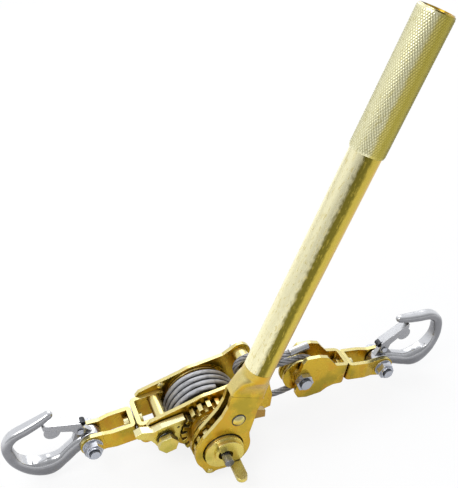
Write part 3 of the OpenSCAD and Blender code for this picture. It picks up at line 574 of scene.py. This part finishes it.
def keep(
    mesh: bmesh.types.BMesh, name: str, finish: Finish, smooth: bool = True
) -> bpy.types.Object:
    """Makes an object of a mesh whose place is in its points.

    Args:
        mesh: the mesh, which is freed.
        name: the piece's name.
        finish: its finish.
        smooth: whether its faces shade smoothly.

    Returns:
        The object.
    """
    bmesh.ops.recalc_face_normals(mesh, faces=mesh.faces)
    data = bpy.data.meshes.new(name)
    mesh.to_mesh(data)
    mesh.free()
    made = added(name, data)
    data.materials.append(material(finish))
    if smooth:
        data.polygons.foreach_set("use_smooth", [True] * len(data.polygons))
    return made


def added(name: str, data: bpy.types.ID) -> bpy.types.Object:
    """Adds an object that holds the data."""
    made = bpy.data.objects.new(name, data)
    bpy.context.scene.collection.objects.link(made)
    return made


def only(piece: bpy.types.Object) -> None:
    """Selects one object and nothing else."""
    bpy.ops.object.select_all(action="DESELECT")
    piece.select_set(True)
    bpy.context.view_layer.objects.active = piece


def frames_along(points: Sequence[Vector]) -> list[tuple[Vector, Vector]]:
    """Two cross directions at each point of a path, carried along it without twist."""
    result: list[tuple[Vector, Vector]] = []
    side = Vector((0.0, 1.0, 0.0))
    for i, _ in enumerate(points):
        ahead = (points[min(i + 1, len(points) - 1)] - points[max(i - 1, 0)]).normalized()
        side = (side - ahead * side.dot(ahead)).normalized()
        result.append((side.copy(), ahead.cross(side)))
    return result


def evenly(points: Sequence[Vector], step: float) -> list[Vector]:
    """Points spaced evenly along a path, its two ends among them."""
    lengths = [0.0]
    for a, b in zip(points, points[1:]):
        lengths.append(lengths[-1] + (b - a).length)
    count = max(2, round(lengths[-1] / step))
    result, j = [], 0
    for i in range(count + 1):
        s = lengths[-1] * i / count
        while j < len(points) - 2 and lengths[j + 1] < s:
            j += 1
        span = lengths[j + 1] - lengths[j]
        result.append(points[j].lerp(points[j + 1], (s - lengths[j]) / span if span else 0.0))
    return result


def along_spline(rows: Sequence[Sequence[float]], u: float) -> list[float]:
    """The values at a place along rows of numbers, on a smooth curve through them all."""
    last = len(rows) - 1
    i = min(int(u), last - 1)
    t = u - i
    result = []
    for p, q, r, s in zip(*(rows[max(0, min(last, i + k))] for k in (-1, 0, 1, 2))):
        square, cube = 2 * p - 5 * q + 4 * r - s, 3 * q - p - 3 * r + s
        result.append(0.5 * (2 * q + (r - p) * t + square * t * t + cube * t**3))
    return result


def sweep(name: str, points: Sequence[Vector], radius: float, finish: Finish) -> bpy.types.Object:
    """A round wire along a path.

    Args:
        name: the piece's name.
        points: the middle line, in metres.
        radius: the wire's radius, in metres.
        finish: its finish.

    Returns:
        The wire.
    """
    turns = [math.tau * k / WIRE_SIDES for k in range(WIRE_SIDES)]
    mesh = bmesh.new()
    rings = []
    for centre, (side, up) in zip(points, frames_along(points)):
        arms = [side * math.cos(a) + up * math.sin(a) for a in turns]
        rings.append([mesh.verts.new(centre + arm * radius) for arm in arms])
    bridge(mesh, rings)
    return keep(mesh, name, finish)


def bridge(mesh: bmesh.types.BMesh, rings: Sequence[Ring], capped: bool = True) -> None:
    """Joins rings of points in order and, where capped, closes both ends."""
    for low, high in zip(rings, rings[1:]):
        for k in range(len(low)):
            n = (k + 1) % len(low)
            mesh.faces.new((low[k], low[n], high[n], high[k]))
    if capped:
        for ring in (rings[0], rings[-1]):
            mesh.faces.new(ring)


# ---- the rope

RING_STEP = 0.0013  # metres between two rings of the rope
STRAND_FACETS = 6  # points across each strand
STRAND_ROUND = 0.7  # the power that fills out a strand's crown
ARC_LEAST, ARC_STEP = 6, 6.0  # the fewest stretches of an arc, and the degrees in each
WRAP_STEP = 5.0  # the degrees in each stretch of the winding


@dataclass
class Rope:
    """The wire rope, in millimetres: where it runs and how it is laid."""

    radius: float = 3.4
    strands: int = 6
    axle: Point = WINCH.origin
    sheave: Point = SHEAVE
    anchor_place: Point = (55.0, 27.0)
    wrap_r: float = 34.5
    wrap_turn: float = 1290.0
    pitch: float = 7.25
    sheave_r: float = 18.5
    eye_r: float = 11.5
    ferrule_start: float = 12.0
    ferrule_len: float = 18.0
    rise: float = 8.3
    stub: float = 37.0
    lift: float = 9.0
    lead: float = 6.8  # the winding's straight end, off the drum
    upper_gap: float = 0.2  # before the bend
    lower_gaps: Point = (7.2, 0.4)  # left free at the drum and at the bend
    lower_straights: Point = (22.0, 18.0)  # at each end, where Y stays as it is
    lower_steps: int = 60
    # Painted light on the winding: its outward faces are painted lit, and its sides and gaps are
    # painted in shade.
    crown_gain: float = 1.9  # how fast the winding pales outward
    crown_start: float = 0.75  # and how much of it stays dark

    def __post_init__(self) -> None:
        """Works out the tangents between the drum, the anchor and the sheave."""
        at = WINCH.at(self.anchor_place[0], 0.0, self.anchor_place[1]) / MM
        self.anchor: Point = (at.x, at.z)
        self.upper = self._across(self.anchor, self.sheave) + math.asin(
            (self.eye_r + self.sheave_r) / math.dist(self.anchor, self.sheave)
        )
        self.lower = self._across(self.axle, self.sheave) + math.asin(
            (self.wrap_r - self.sheave_r) / math.dist(self.axle, self.sheave)
        )
        self.wrap_half = self.pitch * self.wrap_turn / 720

    @staticmethod
    def _across(a: Point, b: Point) -> float:
        """The angle from one point to another."""
        return math.atan2(b[1] - a[1], b[0] - a[0])

    @staticmethod
    def _round(centre: Point, r: float, start: float, end: float) -> list[Vector]:
        """An arc about Y, from one angle to another, in degrees."""
        n = max(ARC_LEAST, round(abs(end - start) / ARC_STEP))
        angles = [math.radians(start + (end - start) * i / n) for i in range(n + 1)]
        return [Rope._point(Rope._off(centre, a, r)) for a in angles]

    @staticmethod
    def _off(p: Point, angle: float, along: float, up: float = 0.0) -> Point:
        """A point that far along a direction and that far to its left."""
        return (
            p[0] + along * math.cos(angle) - up * math.sin(angle),
            p[1] + along * math.sin(angle) + up * math.cos(angle),
        )

    @staticmethod
    def _point(p: Point, y: float = 0.0) -> Vector:
        """A point of the XZ plane, in metres."""
        return Vector((p[0], y, p[1])) * MM

    def tube(
        self, name: str, points: Sequence[Vector], twist: float = 0.0, depth: float = 0.13,
        lay: float = 46.0, finish: Finish = Finish.ROPE,
    ) -> bpy.types.Object:
        """Sweeps the rope's lobed section along a path.

        Args:
            name: the piece's name.
            points: the middle line, in metres.
            twist: the lay's angle at the start.
            depth: how deep the valleys between the strands are, as a share of the radius.
            lay: the length of one turn of the strands, in millimetres.
            finish: the rope's finish.

        Returns:
            The rope.
        """
        sides = self.strands * STRAND_FACETS
        strand = math.tau / self.strands
        path = evenly(points, RING_STEP)
        mesh = bmesh.new()
        crown = mesh.verts.layers.float.new("crown")
        uv = mesh.loops.layers.uv.new("lay")
        rings: list[Ring] = []
        runs = [0.0]
        for a, b in zip(path, path[1:]):
            runs.append(runs[-1] + (b - a).length)
        for centre, (side, up), run in zip(path, frames_along(path), runs):
            turn = twist + math.tau * run / (lay * MM)
            ring = []
            for k in range(sides):
                off = ((k % STRAND_FACETS) / STRAND_FACETS - 0.5) * strand
                inside = abs(off) < strand / 2
                high = math.cos(off * self.strands / 2) ** STRAND_ROUND if inside else 0.0
                r = self.radius * MM * (1 - depth + depth * high)
                a = k / sides * math.tau + turn
                vert = mesh.verts.new(centre + (side * math.cos(a) + up * math.sin(a)) * r)
                vert[crown] = self._outside(vert.co, centre) if finish is Finish.WOUND else high
                ring.append(vert)
            rings.append(ring)
        for i, (low, high_ring) in enumerate(zip(rings, rings[1:])):
            for k in range(sides):
                n = (k + 1) % sides
                face = mesh.faces.new((low[k], low[n], high_ring[n], high_ring[k]))
                marks = ((k, i), (k + 1, i), (k + 1, i + 1), (k, i + 1))
                for loop, (around, row) in zip(face.loops, marks):
                    loop[uv].uv = (around / sides, runs[row])
        for ring in (rings[0], rings[-1]):
            mesh.faces.new(ring)
        made = keep(mesh, name, finish)
        return made

    def _outside(self, point: Vector, centre: Vector) -> float:
        """How far a point of the winding looks away from the axle, from 0 in the gaps to 1: it
        paints the winding lit outward and shaded in the gaps.
        """
        out = centre - self._point(self.axle)
        out.y = 0.0
        share = (point - centre).dot(out.normalized()) / (self.radius * MM)
        return max(0.0, min(1.0, share * self.crown_gain - self.crown_start))

    def winding(self) -> list[Vector]:
        """The turns on the drum, with the straight lead off the last one."""
        end = math.degrees(self.lower) - 90
        n = round(self.wrap_turn / WRAP_STEP)
        points = []
        for i in range(n + 1):
            a = math.radians(end - self.wrap_turn + self.wrap_turn * i / n)
            y = -self.wrap_half + 2 * self.wrap_half * i / n
            points.append(self._point(self._off(self.axle, a, self.wrap_r), y))
        foot = self._off(self.axle, self.lower, 0, -self.wrap_r)
        points.append(self._point(self._off(foot, self.lower, self.lead), self.wrap_half))
        return points

    def build(self) -> None:
        """Makes every stretch of the rope."""
        foot = self._off(self.anchor, self.upper, 0, -self.eye_r)
        rear = self._off(foot, self.upper, self.ferrule_start)
        front = self._off(rear, self.upper, self.ferrule_len)
        dead_rear = self._off(rear, self.upper, 0, self.rise)
        dead_front = self._off(dead_rear, self.upper, self.ferrule_len)
        span = math.dist(self.anchor, dead_rear)
        dead = self._across(self.anchor, dead_rear) - math.asin(self.eye_r / span)
        stub_end = self._off(dead_front, self.upper + math.radians(self.lift), self.stub)
        path = [self._point(stub_end), self._point(dead_front), self._point(dead_rear)]
        start, end = 90 + math.degrees(dead), 270 + math.degrees(self.upper)
        path += self._round(self.anchor, self.eye_r, start, end)
        path.append(self._point(front))
        eye = self.tube("rope_eye_laid", path)
        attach(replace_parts(eye, "rope_eye"), "frame")

        top = self._off(self.sheave, self.upper, 0, self.sheave_r)
        upper_end = self._off(top, self.upper, -self.upper_gap)
        upper = self.tube("upper_rope", [self._point(front), self._point(upper_end)], twist=1.0)
        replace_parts(upper, "upper_strand")
        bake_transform(upper)

        drum_foot = self._off(self.axle, self.lower, 0, -self.wrap_r)
        sheave_foot = self._off(self.sheave, self.lower, 0, -self.sheave_r)
        length = math.dist(drum_foot, sheave_foot)
        start, straight = self.lower_gaps[0], self.lower_straights[0]
        points = []
        for i in range(self.lower_steps + 1):
            s = start + (length - sum(self.lower_gaps)) * i / self.lower_steps
            t = min(1.0, max(0.0, (s - straight) / (length - sum(self.lower_straights))))
            y = self.wrap_half * (1 - t * t * (3 - 2 * t))
            points.append(self._point(self._off(drum_foot, self.lower, s), y))
        lower = self.tube("lower_rope", points, twist=2.0)
        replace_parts(lower, "lower_strand")
        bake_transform(lower)

        bend = self._round(
            self.sheave, self.sheave_r, math.degrees(self.lower) - 90, math.degrees(self.upper) + 90
        )
        around = self.tube("sheave_rope", bend, twist=0.5)
        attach(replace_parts(around, "block_rope"), "block")

        wound = self.tube("wound_rope", self.winding(), depth=0.04, lay=60.0, finish=Finish.WOUND)
        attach(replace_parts(wound, "winding"), "drum")
        LOG.info("rope: %s degrees wound", self.wrap_turn)


# ---- the grip


@dataclass
class Grip:
    """The knurled skin at the top of the handle, in millimetres."""

    start: float = 320.0
    end: float = 436.0
    radius: float = 15.6
    inner: float = 14.05
    y: float = -54.75
    knurls: int = 44
    depth: float = 0.45
    slant: float = 0.256  # ridges that the pattern shifts by in each millimetre
    rolled: float = 2.0
    roll_depth: float = 0.5
    sides: int = 264
    rows: int = 210

    def _valley(self, a: float, h: float) -> float:
        """How deep in the knurl's valleys a place lies, from 0 to 1, at an angle and a height."""
        around, along = a * self.knurls / math.tau, h * self.slant
        return 1 - min(abs(((around + way * along) % 1.0) - 0.5) * 2 for way in (1, -1))

    def build(self) -> None:
        """Makes the skin: two crossing sets of shallow ridges, and a rolled edge at each end."""
        mesh = bmesh.new()
        groove = mesh.verts.layers.float.new("groove")
        rings: list[Ring] = []
        turns = [math.tau * k / self.sides for k in range(self.sides)]
        for i in range(self.rows + 1):
            h = self.start + (self.end - self.start) * i / self.rows
            edge = min(1.0, min(h - self.start, self.end - h) / self.rolled)
            ring = []
            for a in turns:
                valley = self._valley(a, h)
                r = self.radius - self.depth * valley * edge - (1 - edge) * self.roll_depth
                vert = mesh.verts.new(HANDLE.at(h, self.y + r * math.sin(a), r * math.cos(a)))
                # The groove mark, deepest in the knurl's valleys, is where the grip's plating
                # paints shade.
                vert[groove] = valley**2 * edge
                ring.append(vert)
            rings.append(ring)
        for h in (self.end, self.start):
            spots = [(self.y + self.inner * math.sin(a), self.inner * math.cos(a)) for a in turns]
            rings.append([mesh.verts.new(HANDLE.at(h, y, z)) for y, z in spots])
        bridge(mesh, [*rings, rings[0]], capped=False)
        made = keep(mesh, "knurled_grip", Finish.SKIN)
        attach(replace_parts(made, "grip"), "handle")
        LOG.info("grip: %d ridges each way", self.knurls)


# ---- the handle's socket


@dataclass
class Socket:
    """The sheet socket pressed from the fork's flat plates to the round tube, in millimetres."""

    sides: int = 144
    steps: int = 10
    sharp: float = 24.0
    stations: tuple[tuple[float, ...], ...] = (
        (66, -53.75, 0.75, 7.72, 17.7, 11),
        (71, -53.75, 0.7, 7.74, 17.3, 9),
        (78, -54.0, 0.4, 9.3, 16.2, 5),
        (85, -54.5, 0.1, 12.2, 15.0, 2.9),
        (89.5, -54.75, 0.0, 13.98, 14.2, 2),
        (97, -54.75, 0.0, 13.98, 13.98, 2),
    )

    def build(self) -> None:
        """Lofts the socket through its stations: place, middle, half sizes and squareness."""
        mesh = bmesh.new()
        rings = []
        for i in range((len(self.stations) - 1) * self.steps + 1):
            x, y, z, deep, wide, power = along_spline(self.stations, i / self.steps)
            power = max(2.0, power)
            ring = []
            for k in range(self.sides):
                a = math.tau * (k + 0.5) / self.sides
                c, s = math.cos(a), math.sin(a)
                r = (abs(c / wide) ** power + abs(s / deep) ** power) ** (-1 / power)
                ring.append(mesh.verts.new(HANDLE.at(x, y + r * s, z + r * c)))
            rings.append(ring)
        bridge(mesh, rings)
        made = keep(mesh, "pressed_socket", Finish.GOLD)
        only(made)
        bpy.ops.object.shade_smooth_by_angle(angle=math.radians(self.sharp))
        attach(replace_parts(made, "handle_socket"), "handle")
        LOG.info("socket: %d stations", len(self.stations))


# ---- threads


@dataclass
class Threads:
    """The threads that stand out of the nuts, painted near black as the shade in their grooves, and
    a dark ring at the rivet's base that is painted shade around its dome.

    Each row has the name, the place, the radius, the two ends along Y and the body.
    """

    rows: tuple[tuple[str, Point, float, float, float, str], ...] = (
        # The threads are real shapes; their near-black colour is painted shade.
        ("rear_bolt_thread", REAR_HOOK.origin, 4.9, -22.3, -23.7, "rear_yoke"),
        ("front_bolt_thread", FRONT_HOOK.origin, 4.9, -22.3, -23.7, "front_yoke"),
        ("sheave_bolt_thread", SHEAVE, 5.9, -20.4, -22.6, "block"),
        # A dark ring of wire painted as the shade around the rivet's dome.
        ("pivot_rivet_shade_ring", HANDLE_RIVET, 6.5, -61.6, -61.9, "handle"),
    )
    wire_r: float = 0.5
    turns: float = 2.5
    steps_a_turn: int = 40

    def build(self) -> None:
        """Winds each thread round its bolt."""
        steps = round(self.turns * self.steps_a_turn)
        for name, (x, z), r, start, end, body in self.rows:
            points = []
            for i in range(steps + 1):
                a = math.tau * self.turns * i / steps
                y = start + (end - start) * i / steps
                points.append(Vector((x + r * math.cos(a), y, z + r * math.sin(a))) * MM)
            made = sweep(name, points, self.wire_r * MM, Finish.DARK)
            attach(made, body)
        LOG.info("threads: %d", len(self.rows))


# ---- the latch springs


@dataclass
class LatchSpring:
    """The coiled wire that holds a latch shut, in the hook's frame, in millimetres."""

    name: str
    place: Place
    body: str
    middle: Point = (4.0, 25.0)
    coil_r: float = 3.0
    wire_r: float = 0.65
    turns: float = 4.25
    half: float = 3.1
    steps_a_turn: int = 20
    near_leg: Point = (9.0, 3.4)
    near_bend: float = 4.0
    far_leg: Point = (0.5, -5.0)

    def build(self) -> None:
        """Winds the coil and runs its two legs."""
        x, z = self.middle
        steps = round(self.turns * self.steps_a_turn)
        points = [
            self.place.at(x + self.near_leg[0], -self.half, z + self.near_leg[1]),
            self.place.at(x + self.near_bend, -self.half, z + self.coil_r),
        ]
        for i in range(steps + 1):
            a = math.pi / 2 + math.tau * self.turns * i / steps
            y = -self.half + 2 * self.half * i / steps
            c, s = self.coil_r * math.cos(a), self.coil_r * math.sin(a)
            points.append(self.place.at(x + c, y, z + s))
        points.append(self.place.at(x + self.far_leg[0], self.half, z + self.far_leg[1]))
        made = sweep(self.name, points, self.wire_r * MM, Finish.DARK)
        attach(made, self.body)
        LOG.info("%s: %s turns", self.name, self.turns)


# ---- the hooks

SECTION_FLATS: Point = (0.62, 0.85)  # how square the section's two halves are, where 1 is round
SECTION_ROUND = 0.8
NEARBY = 0.05  # the step along the line that gives its direction


@dataclass
class Hook:
    """A forged hook in its own frame, in millimetres, with the bolt at the origin."""

    name: str
    place: Place
    body: str
    node: str
    eye_r: float = 11.5
    eye_half: float = 6.5
    eye_round: float = 1.6
    bore: float = 5.1
    seat: tuple[float, float, float] = (49.5, 14.0, 20.5)
    line: tuple[tuple[float, float, float, float], ...] = (
        (2, 2, 8, 6.2), (10, 0, 8, 6.5), (19, -5, 7.6, 6.7), (30, -12.5, 7.8, 7.2),
        (44, -16.8, 10.9, 8), (59, -11.5, 8.4, 7.8), (71, 1.5, 5.9, 7), (75.3, 16, 5.5, 6.6),
        (74.5, 26.5, 5.2, 6), (67, 35, 5.2, 5.8), (54, 39.3, 5.1, 5.8), (41.5, 43.6, 4.7, 5.2),
        (31.5, 47.8, 3.9, 4.2),
    )
    tip: tuple[tuple[float, float], ...] = ((0.9, 1.5), (0.7, 3.0), (0.36, 4.0))
    lug: tuple[Point, ...] = (
        (-6, 8), (2.6, 19), (4.5, 21.8), (7, 22.6), (9.6, 21.8), (11.4, 18), (18, 2), (4, -2)
    )
    lug_half: float = 3.0
    cut_half: float = 12.0
    steps: int = 10
    sides: int = 32
    seat_sides: int = 96
    sharp: float = 38.0

    def _lean(self, start: float, end: float) -> float:
        """The middle line's direction between two places along it."""
        (x0, z0), (x1, z1) = (along_spline(self.line, u)[:2] for u in (start, end))
        return math.atan2(z1 - z0, x1 - x0)

    def _ring(
        self, mesh: bmesh.types.BMesh, u: float, lean: float, flats: Point, scale: float = 1.0,
        out: float = 0.0,
    ) -> Ring:
        """Adds one ring of the hook's section.

        Args:
            mesh: where it goes.
            u: its place along the middle line.
            lean: the line's direction there.
            flats: how square its two halves are across the hook, where 1 is round.
            scale: its size, as a share of the line's own.
            out: how far past its place it stands, in millimetres.

        Returns:
            The ring's points.
        """
        x, z, deep, wide = along_spline(self.line, u)
        ring = []
        for j in range(self.sides):
            b = math.tau * j / self.sides
            c, s = math.cos(b), math.sin(b)
            h = math.copysign(abs(c) ** SECTION_ROUND, c) * deep * scale
            w = math.copysign(abs(s) ** (flats[0] if c < 0 else flats[1]), s) * wide * scale
            px = x - h * math.sin(lean) + out * math.cos(lean)
            pz = z + h * math.cos(lean) + out * math.sin(lean)
            ring.append(mesh.verts.new(self.place.at(px, w, pz)))
        return ring

    def build(self) -> None:
        """Sweeps the hook's section along its line, adds the eye and the lug, and cuts the seat."""
        mesh = bmesh.new()
        rings = []
        last = len(self.line) - 1
        for k in range(last * self.steps + 1):
            u = k / self.steps
            lean = self._lean(max(u - NEARBY, 0), min(u + NEARBY, last))
            rings.append(self._ring(mesh, u, lean, SECTION_FLATS))
        lean = self._lean(last - 2 * NEARBY, last)
        for scale, out in self.tip:
            rings.append(self._ring(mesh, last, lean, (SECTION_ROUND, SECTION_ROUND), scale, out))
        bridge(mesh, rings)
        made = keep(mesh, self.name, Finish.FORGED)
        self._join_eye(made)
        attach(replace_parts(made, self.node), self.body)
        LOG.info("%s: %d faces", self.name, len(made.data.polygons))

    def _drum(self, x: float, z: float, r: float, half: float, sides: int = 64) -> bpy.types.Object:
        """A cylinder along Y in the hook's frame, as a tool for the cuts."""
        only(bpy.context.scene.objects[self.name])
        bpy.ops.object.select_all(action="DESELECT")
        bpy.ops.mesh.primitive_cylinder_add(
            vertices=sides, radius=r * MM, depth=2 * half * MM, location=self.place.at(x, 0, z),
            rotation=(math.pi / 2, 0, 0),
        )
        tool = bpy.context.active_object
        bpy.ops.object.transform_apply(location=True, rotation=True, scale=True)
        return tool

    def _combine(self, piece: bpy.types.Object, tool: bpy.types.Object, way: str) -> None:
        """Joins a tool to the piece or cuts it away, and removes the tool."""
        only(piece)
        change = piece.modifiers.new("cut", "BOOLEAN")
        change.operation = way
        change.solver = "EXACT"
        change.object = tool
        bpy.ops.object.modifier_apply(modifier=change.name)
        bpy.data.objects.remove(tool)

    def _join_eye(self, piece: bpy.types.Object) -> None:
        """Adds the eye's boss and the lug, then cuts the bore and the round seat."""
        eye = self._drum(0, 0, self.eye_r, self.eye_half)
        only(eye)
        bevel = eye.modifiers.new("round", "BEVEL")
        bevel.width = self.eye_round * MM
        bevel.segments = 3
        bevel.limit_method = "ANGLE"
        bpy.ops.object.modifier_apply(modifier=bevel.name)
        self._combine(piece, eye, "UNION")
        lug = bmesh.new()
        sides = (-self.lug_half, self.lug_half)
        bridge(lug, [[lug.verts.new(self.place.at(x, y, z)) for x, z in self.lug] for y in sides])
        self._combine(piece, keep(lug, "lug_tool", Finish.FORGED, False), "UNION")
        self._combine(piece, self._drum(0, 0, self.bore, self.cut_half), "DIFFERENCE")
        seat = self._drum(*self.seat, self.cut_half, self.seat_sides)
        self._combine(piece, seat, "DIFFERENCE")
        piece.data.materials.clear()
        piece.data.materials.append(material(Finish.FORGED))
        only(piece)
        bpy.ops.object.shade_smooth_by_angle(angle=math.radians(self.sharp))


# ---- dressing the CAD nodes


class Dress:
    """Gives every CAD node its finish, and those not named here the pale plating."""

    FINISHES: dict[Finish, tuple[str, ...]] = {
        Finish.GOLD: (
            "near_plate", "far_plate", "rear_spacer", "guard_band", "anchor_sleeve", "drum",
            "ratchet_wheel", "outer_fork_plate", "inner_fork_plate", "handle_plug", "rear_yoke",
            "front_yoke", "block_frame", "sheave", "rear_strap",
        ),
        Finish.PALE: (
            "frame_rivets", "axle_bushes", "drive_gear", "handle_socket", "fork_rivets",
            "drive_pawl_pin", "holding_pawl", "grip", "knob", "pawl_bolt",
        ),
        Finish.TUBE: ("handle_tube",),
        Finish.BRONZE: ("drive_pawl",),
        Finish.BRIGHT: (
            "anchor_bolt", "pawl_bush", "ferrule", "rope_clamp", "axle", "hub_spacer", "fork_bush",
            "rear_hook_bolt", "front_hook_bolt", "rear_washers", "front_washers", "sheave_bolt",
            "rear_latch_pin", "front_latch_pin",
        ),
        Finish.STUD: ("centre_bolt",),
        Finish.SHEET: ("rear_latch", "front_latch"),
        Finish.FORGED: ("rear_hook", "front_hook", "end_sleeve"),
        Finish.DARK: ("pawl_spring", "axle_clip", "drive_pawl_spring"),
        Finish.ROPE: ("rope_eye", "upper_strand", "lower_strand", "winding", "block_rope"),
    }

    def __init__(self, nodes: dict[str, bpy.types.Object]) -> None:
        """Keeps the nodes by name."""
        self.nodes = nodes

    def build(self) -> None:
        """Sets each node's material."""
        left = set(self.nodes)
        for finish, names in self.FINISHES.items():
            for name in names:
                self._coat(self.nodes[name], finish)
                left.discard(name)
        for name in sorted(left):
            self._coat(self.nodes[name], Finish.PALE)
        LOG.info("dressed %d nodes, %d by default", len(self.nodes), len(left))

    @staticmethod
    def _coat(node: bpy.types.Object, finish: Finish) -> None:
        """Puts one material in every slot of a node."""
        if not node.material_slots:
            node.data.materials.append(material(finish))
        for slot in node.material_slots:
            slot.material = material(finish)


# ---- studio

WHITE: Colour = (1.0, 1.0, 1.0)


@dataclass(frozen=True)
class Studio:
    """The floor, the lamps and the camera, in metres."""

    eye: tuple[float, float, float] = (-0.000266, -0.5114, 0.574328)
    down: float = 0.619
    side: float = 0.366
    focal: float = 760.9
    width: float = 458.0
    sensor: float = 36.0
    floor_half: float = 6.0
    floor_tint: Colour = (0.93, 0.93, 0.93)
    floor_glow: float = 0.84
    sky_tint: Colour = (0.93, 0.95, 1.0)
    sky_band: Band = (-0.75, 0.35)
    sky_strength: Band = (0.42, 0.98)
    lamp_aim: tuple[float, float, float] = (0.2, 0.0, 0.05)

    def camera(self) -> None:
        """Adds the camera and makes it the scene's."""
        lens = bpy.data.cameras.new("camera")
        lens.sensor_fit = "HORIZONTAL"
        lens.sensor_width = self.sensor
        lens.lens = self.focal / self.width * self.sensor
        lens.clip_start = 0.01
        made = added("camera", lens)
        made.location = self.eye
        made.rotation_euler = (math.pi / 2 - self.down, 0.0, -self.side)
        bpy.context.scene.camera = made

    def floor(self, height: float) -> None:
        """Adds the pale floor."""
        far = self.floor_half
        spots = ((-far, -far), (far, -far), (far, far), (-far, far))
        mesh = bmesh.new()
        mesh.faces.new([mesh.verts.new((x, y, height)) for x, y in spots])
        data = bpy.data.meshes.new("floor")
        mesh.to_mesh(data)
        mesh.free()
        made = added("floor", data)
        g = Graph("floor_white")
        white = g.node("ShaderNodeEmission", {}, {"Color": WHITE, "Strength": 1.0})
        seen = g.number("ShaderNodeLightPath", {}, {}, "Is Camera Ray") * self.floor_glow
        mix = {0: seen, 1: g.shader.outputs[0], 2: white.outputs[0]}
        g.stand(g.node("ShaderNodeMixShader", {}, mix))
        pale = g.finish(Base_Color=self.floor_tint, Roughness=0.9, Specular_IOR_Level=0.0)
        data.materials.append(pale)
        made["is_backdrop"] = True

    def lamp(self, name: str, place: Sequence[float], size: float, power: float) -> None:
        """Adds a square lamp that looks at the middle of the object."""
        light = bpy.data.lights.new(name, "AREA")
        light.size = size
        light.energy = power
        lit = added(name, light)
        lit.location = place
        aim = Vector(self.lamp_aim) - Vector(place)
        lit.rotation_euler = aim.to_track_quat("-Z", "Y").to_euler()

    def lights(self) -> None:
        """Sets the sky and the lamps."""
        world = bpy.data.worlds.new("sky")
        bpy.context.scene.world = world
        world.use_nodes = True
        tree = Tree(world.node_tree, "ShaderNodeOutputWorld")
        toward = tree.node("ShaderNodeTexCoord").outputs["Generated"]
        depth = tree.node("ShaderNodeSeparateXYZ", {}, {0: toward}).outputs[1]
        names = ("From Min", "From Max", "To Min", "To Max")
        ends = dict(zip(names, (*self.sky_band, *self.sky_strength)))
        smooth = {"interpolation_type": "SMOOTHSTEP"}
        glow = tree.number("ShaderNodeMapRange", smooth, {"Value": depth, **ends})
        sky = tree.node("ShaderNodeBackground", {}, {"Color": self.sky_tint, "Strength": glow})
        seen = tree.node("ShaderNodeBackground", {}, {"Color": WHITE})
        ray = tree.number("ShaderNodeLightPath", {}, {}, "Is Camera Ray")
        mix = {0: ray, 1: sky.outputs[0], 2: seen.outputs[0]}
        tree.stand(tree.node("ShaderNodeMixShader", {}, mix))
        self.lamp("key", place=(-0.55, -0.35, 1.25), size=0.7, power=7.5)
        self.lamp("back", place=(0.7, 1.3, 1.1), size=1.2, power=9.0)

    def build(self, height: float) -> None:
        """Sets the whole stage."""
        self.camera()
        self.floor(height)
        self.lights()
        bpy.context.scene.view_settings.view_transform = "Standard"


def corners(box: Iterable[Vector]) -> list[list[float]]:
    """A box's two corners as plain lists."""
    return [[float(v) for v in corner] for corner in box]


def main() -> None:
    """Builds the dressed puller and its stage."""
    logging.basicConfig(level=logging.INFO, format="%(message)s")
    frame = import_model()
    plain = corners(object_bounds())
    Studio().build(plain[0][2])
    Dress(frame["nodes"]).build()
    Rope().build()
    Grip().build()
    Socket().build()
    Threads().build()
    Hook("rear_hook_forged", REAR_HOOK, "rear_hook", "rear_hook").build()
    Hook("front_hook_forged", FRONT_HOOK, "front_hook", "front_hook").build()
    LatchSpring("rear_latch_coil", REAR_HOOK, "rear_latch").build()
    LatchSpring("front_latch_coil", FRONT_HOOK, "front_latch").build()


if __name__ == "__main__":
    main()
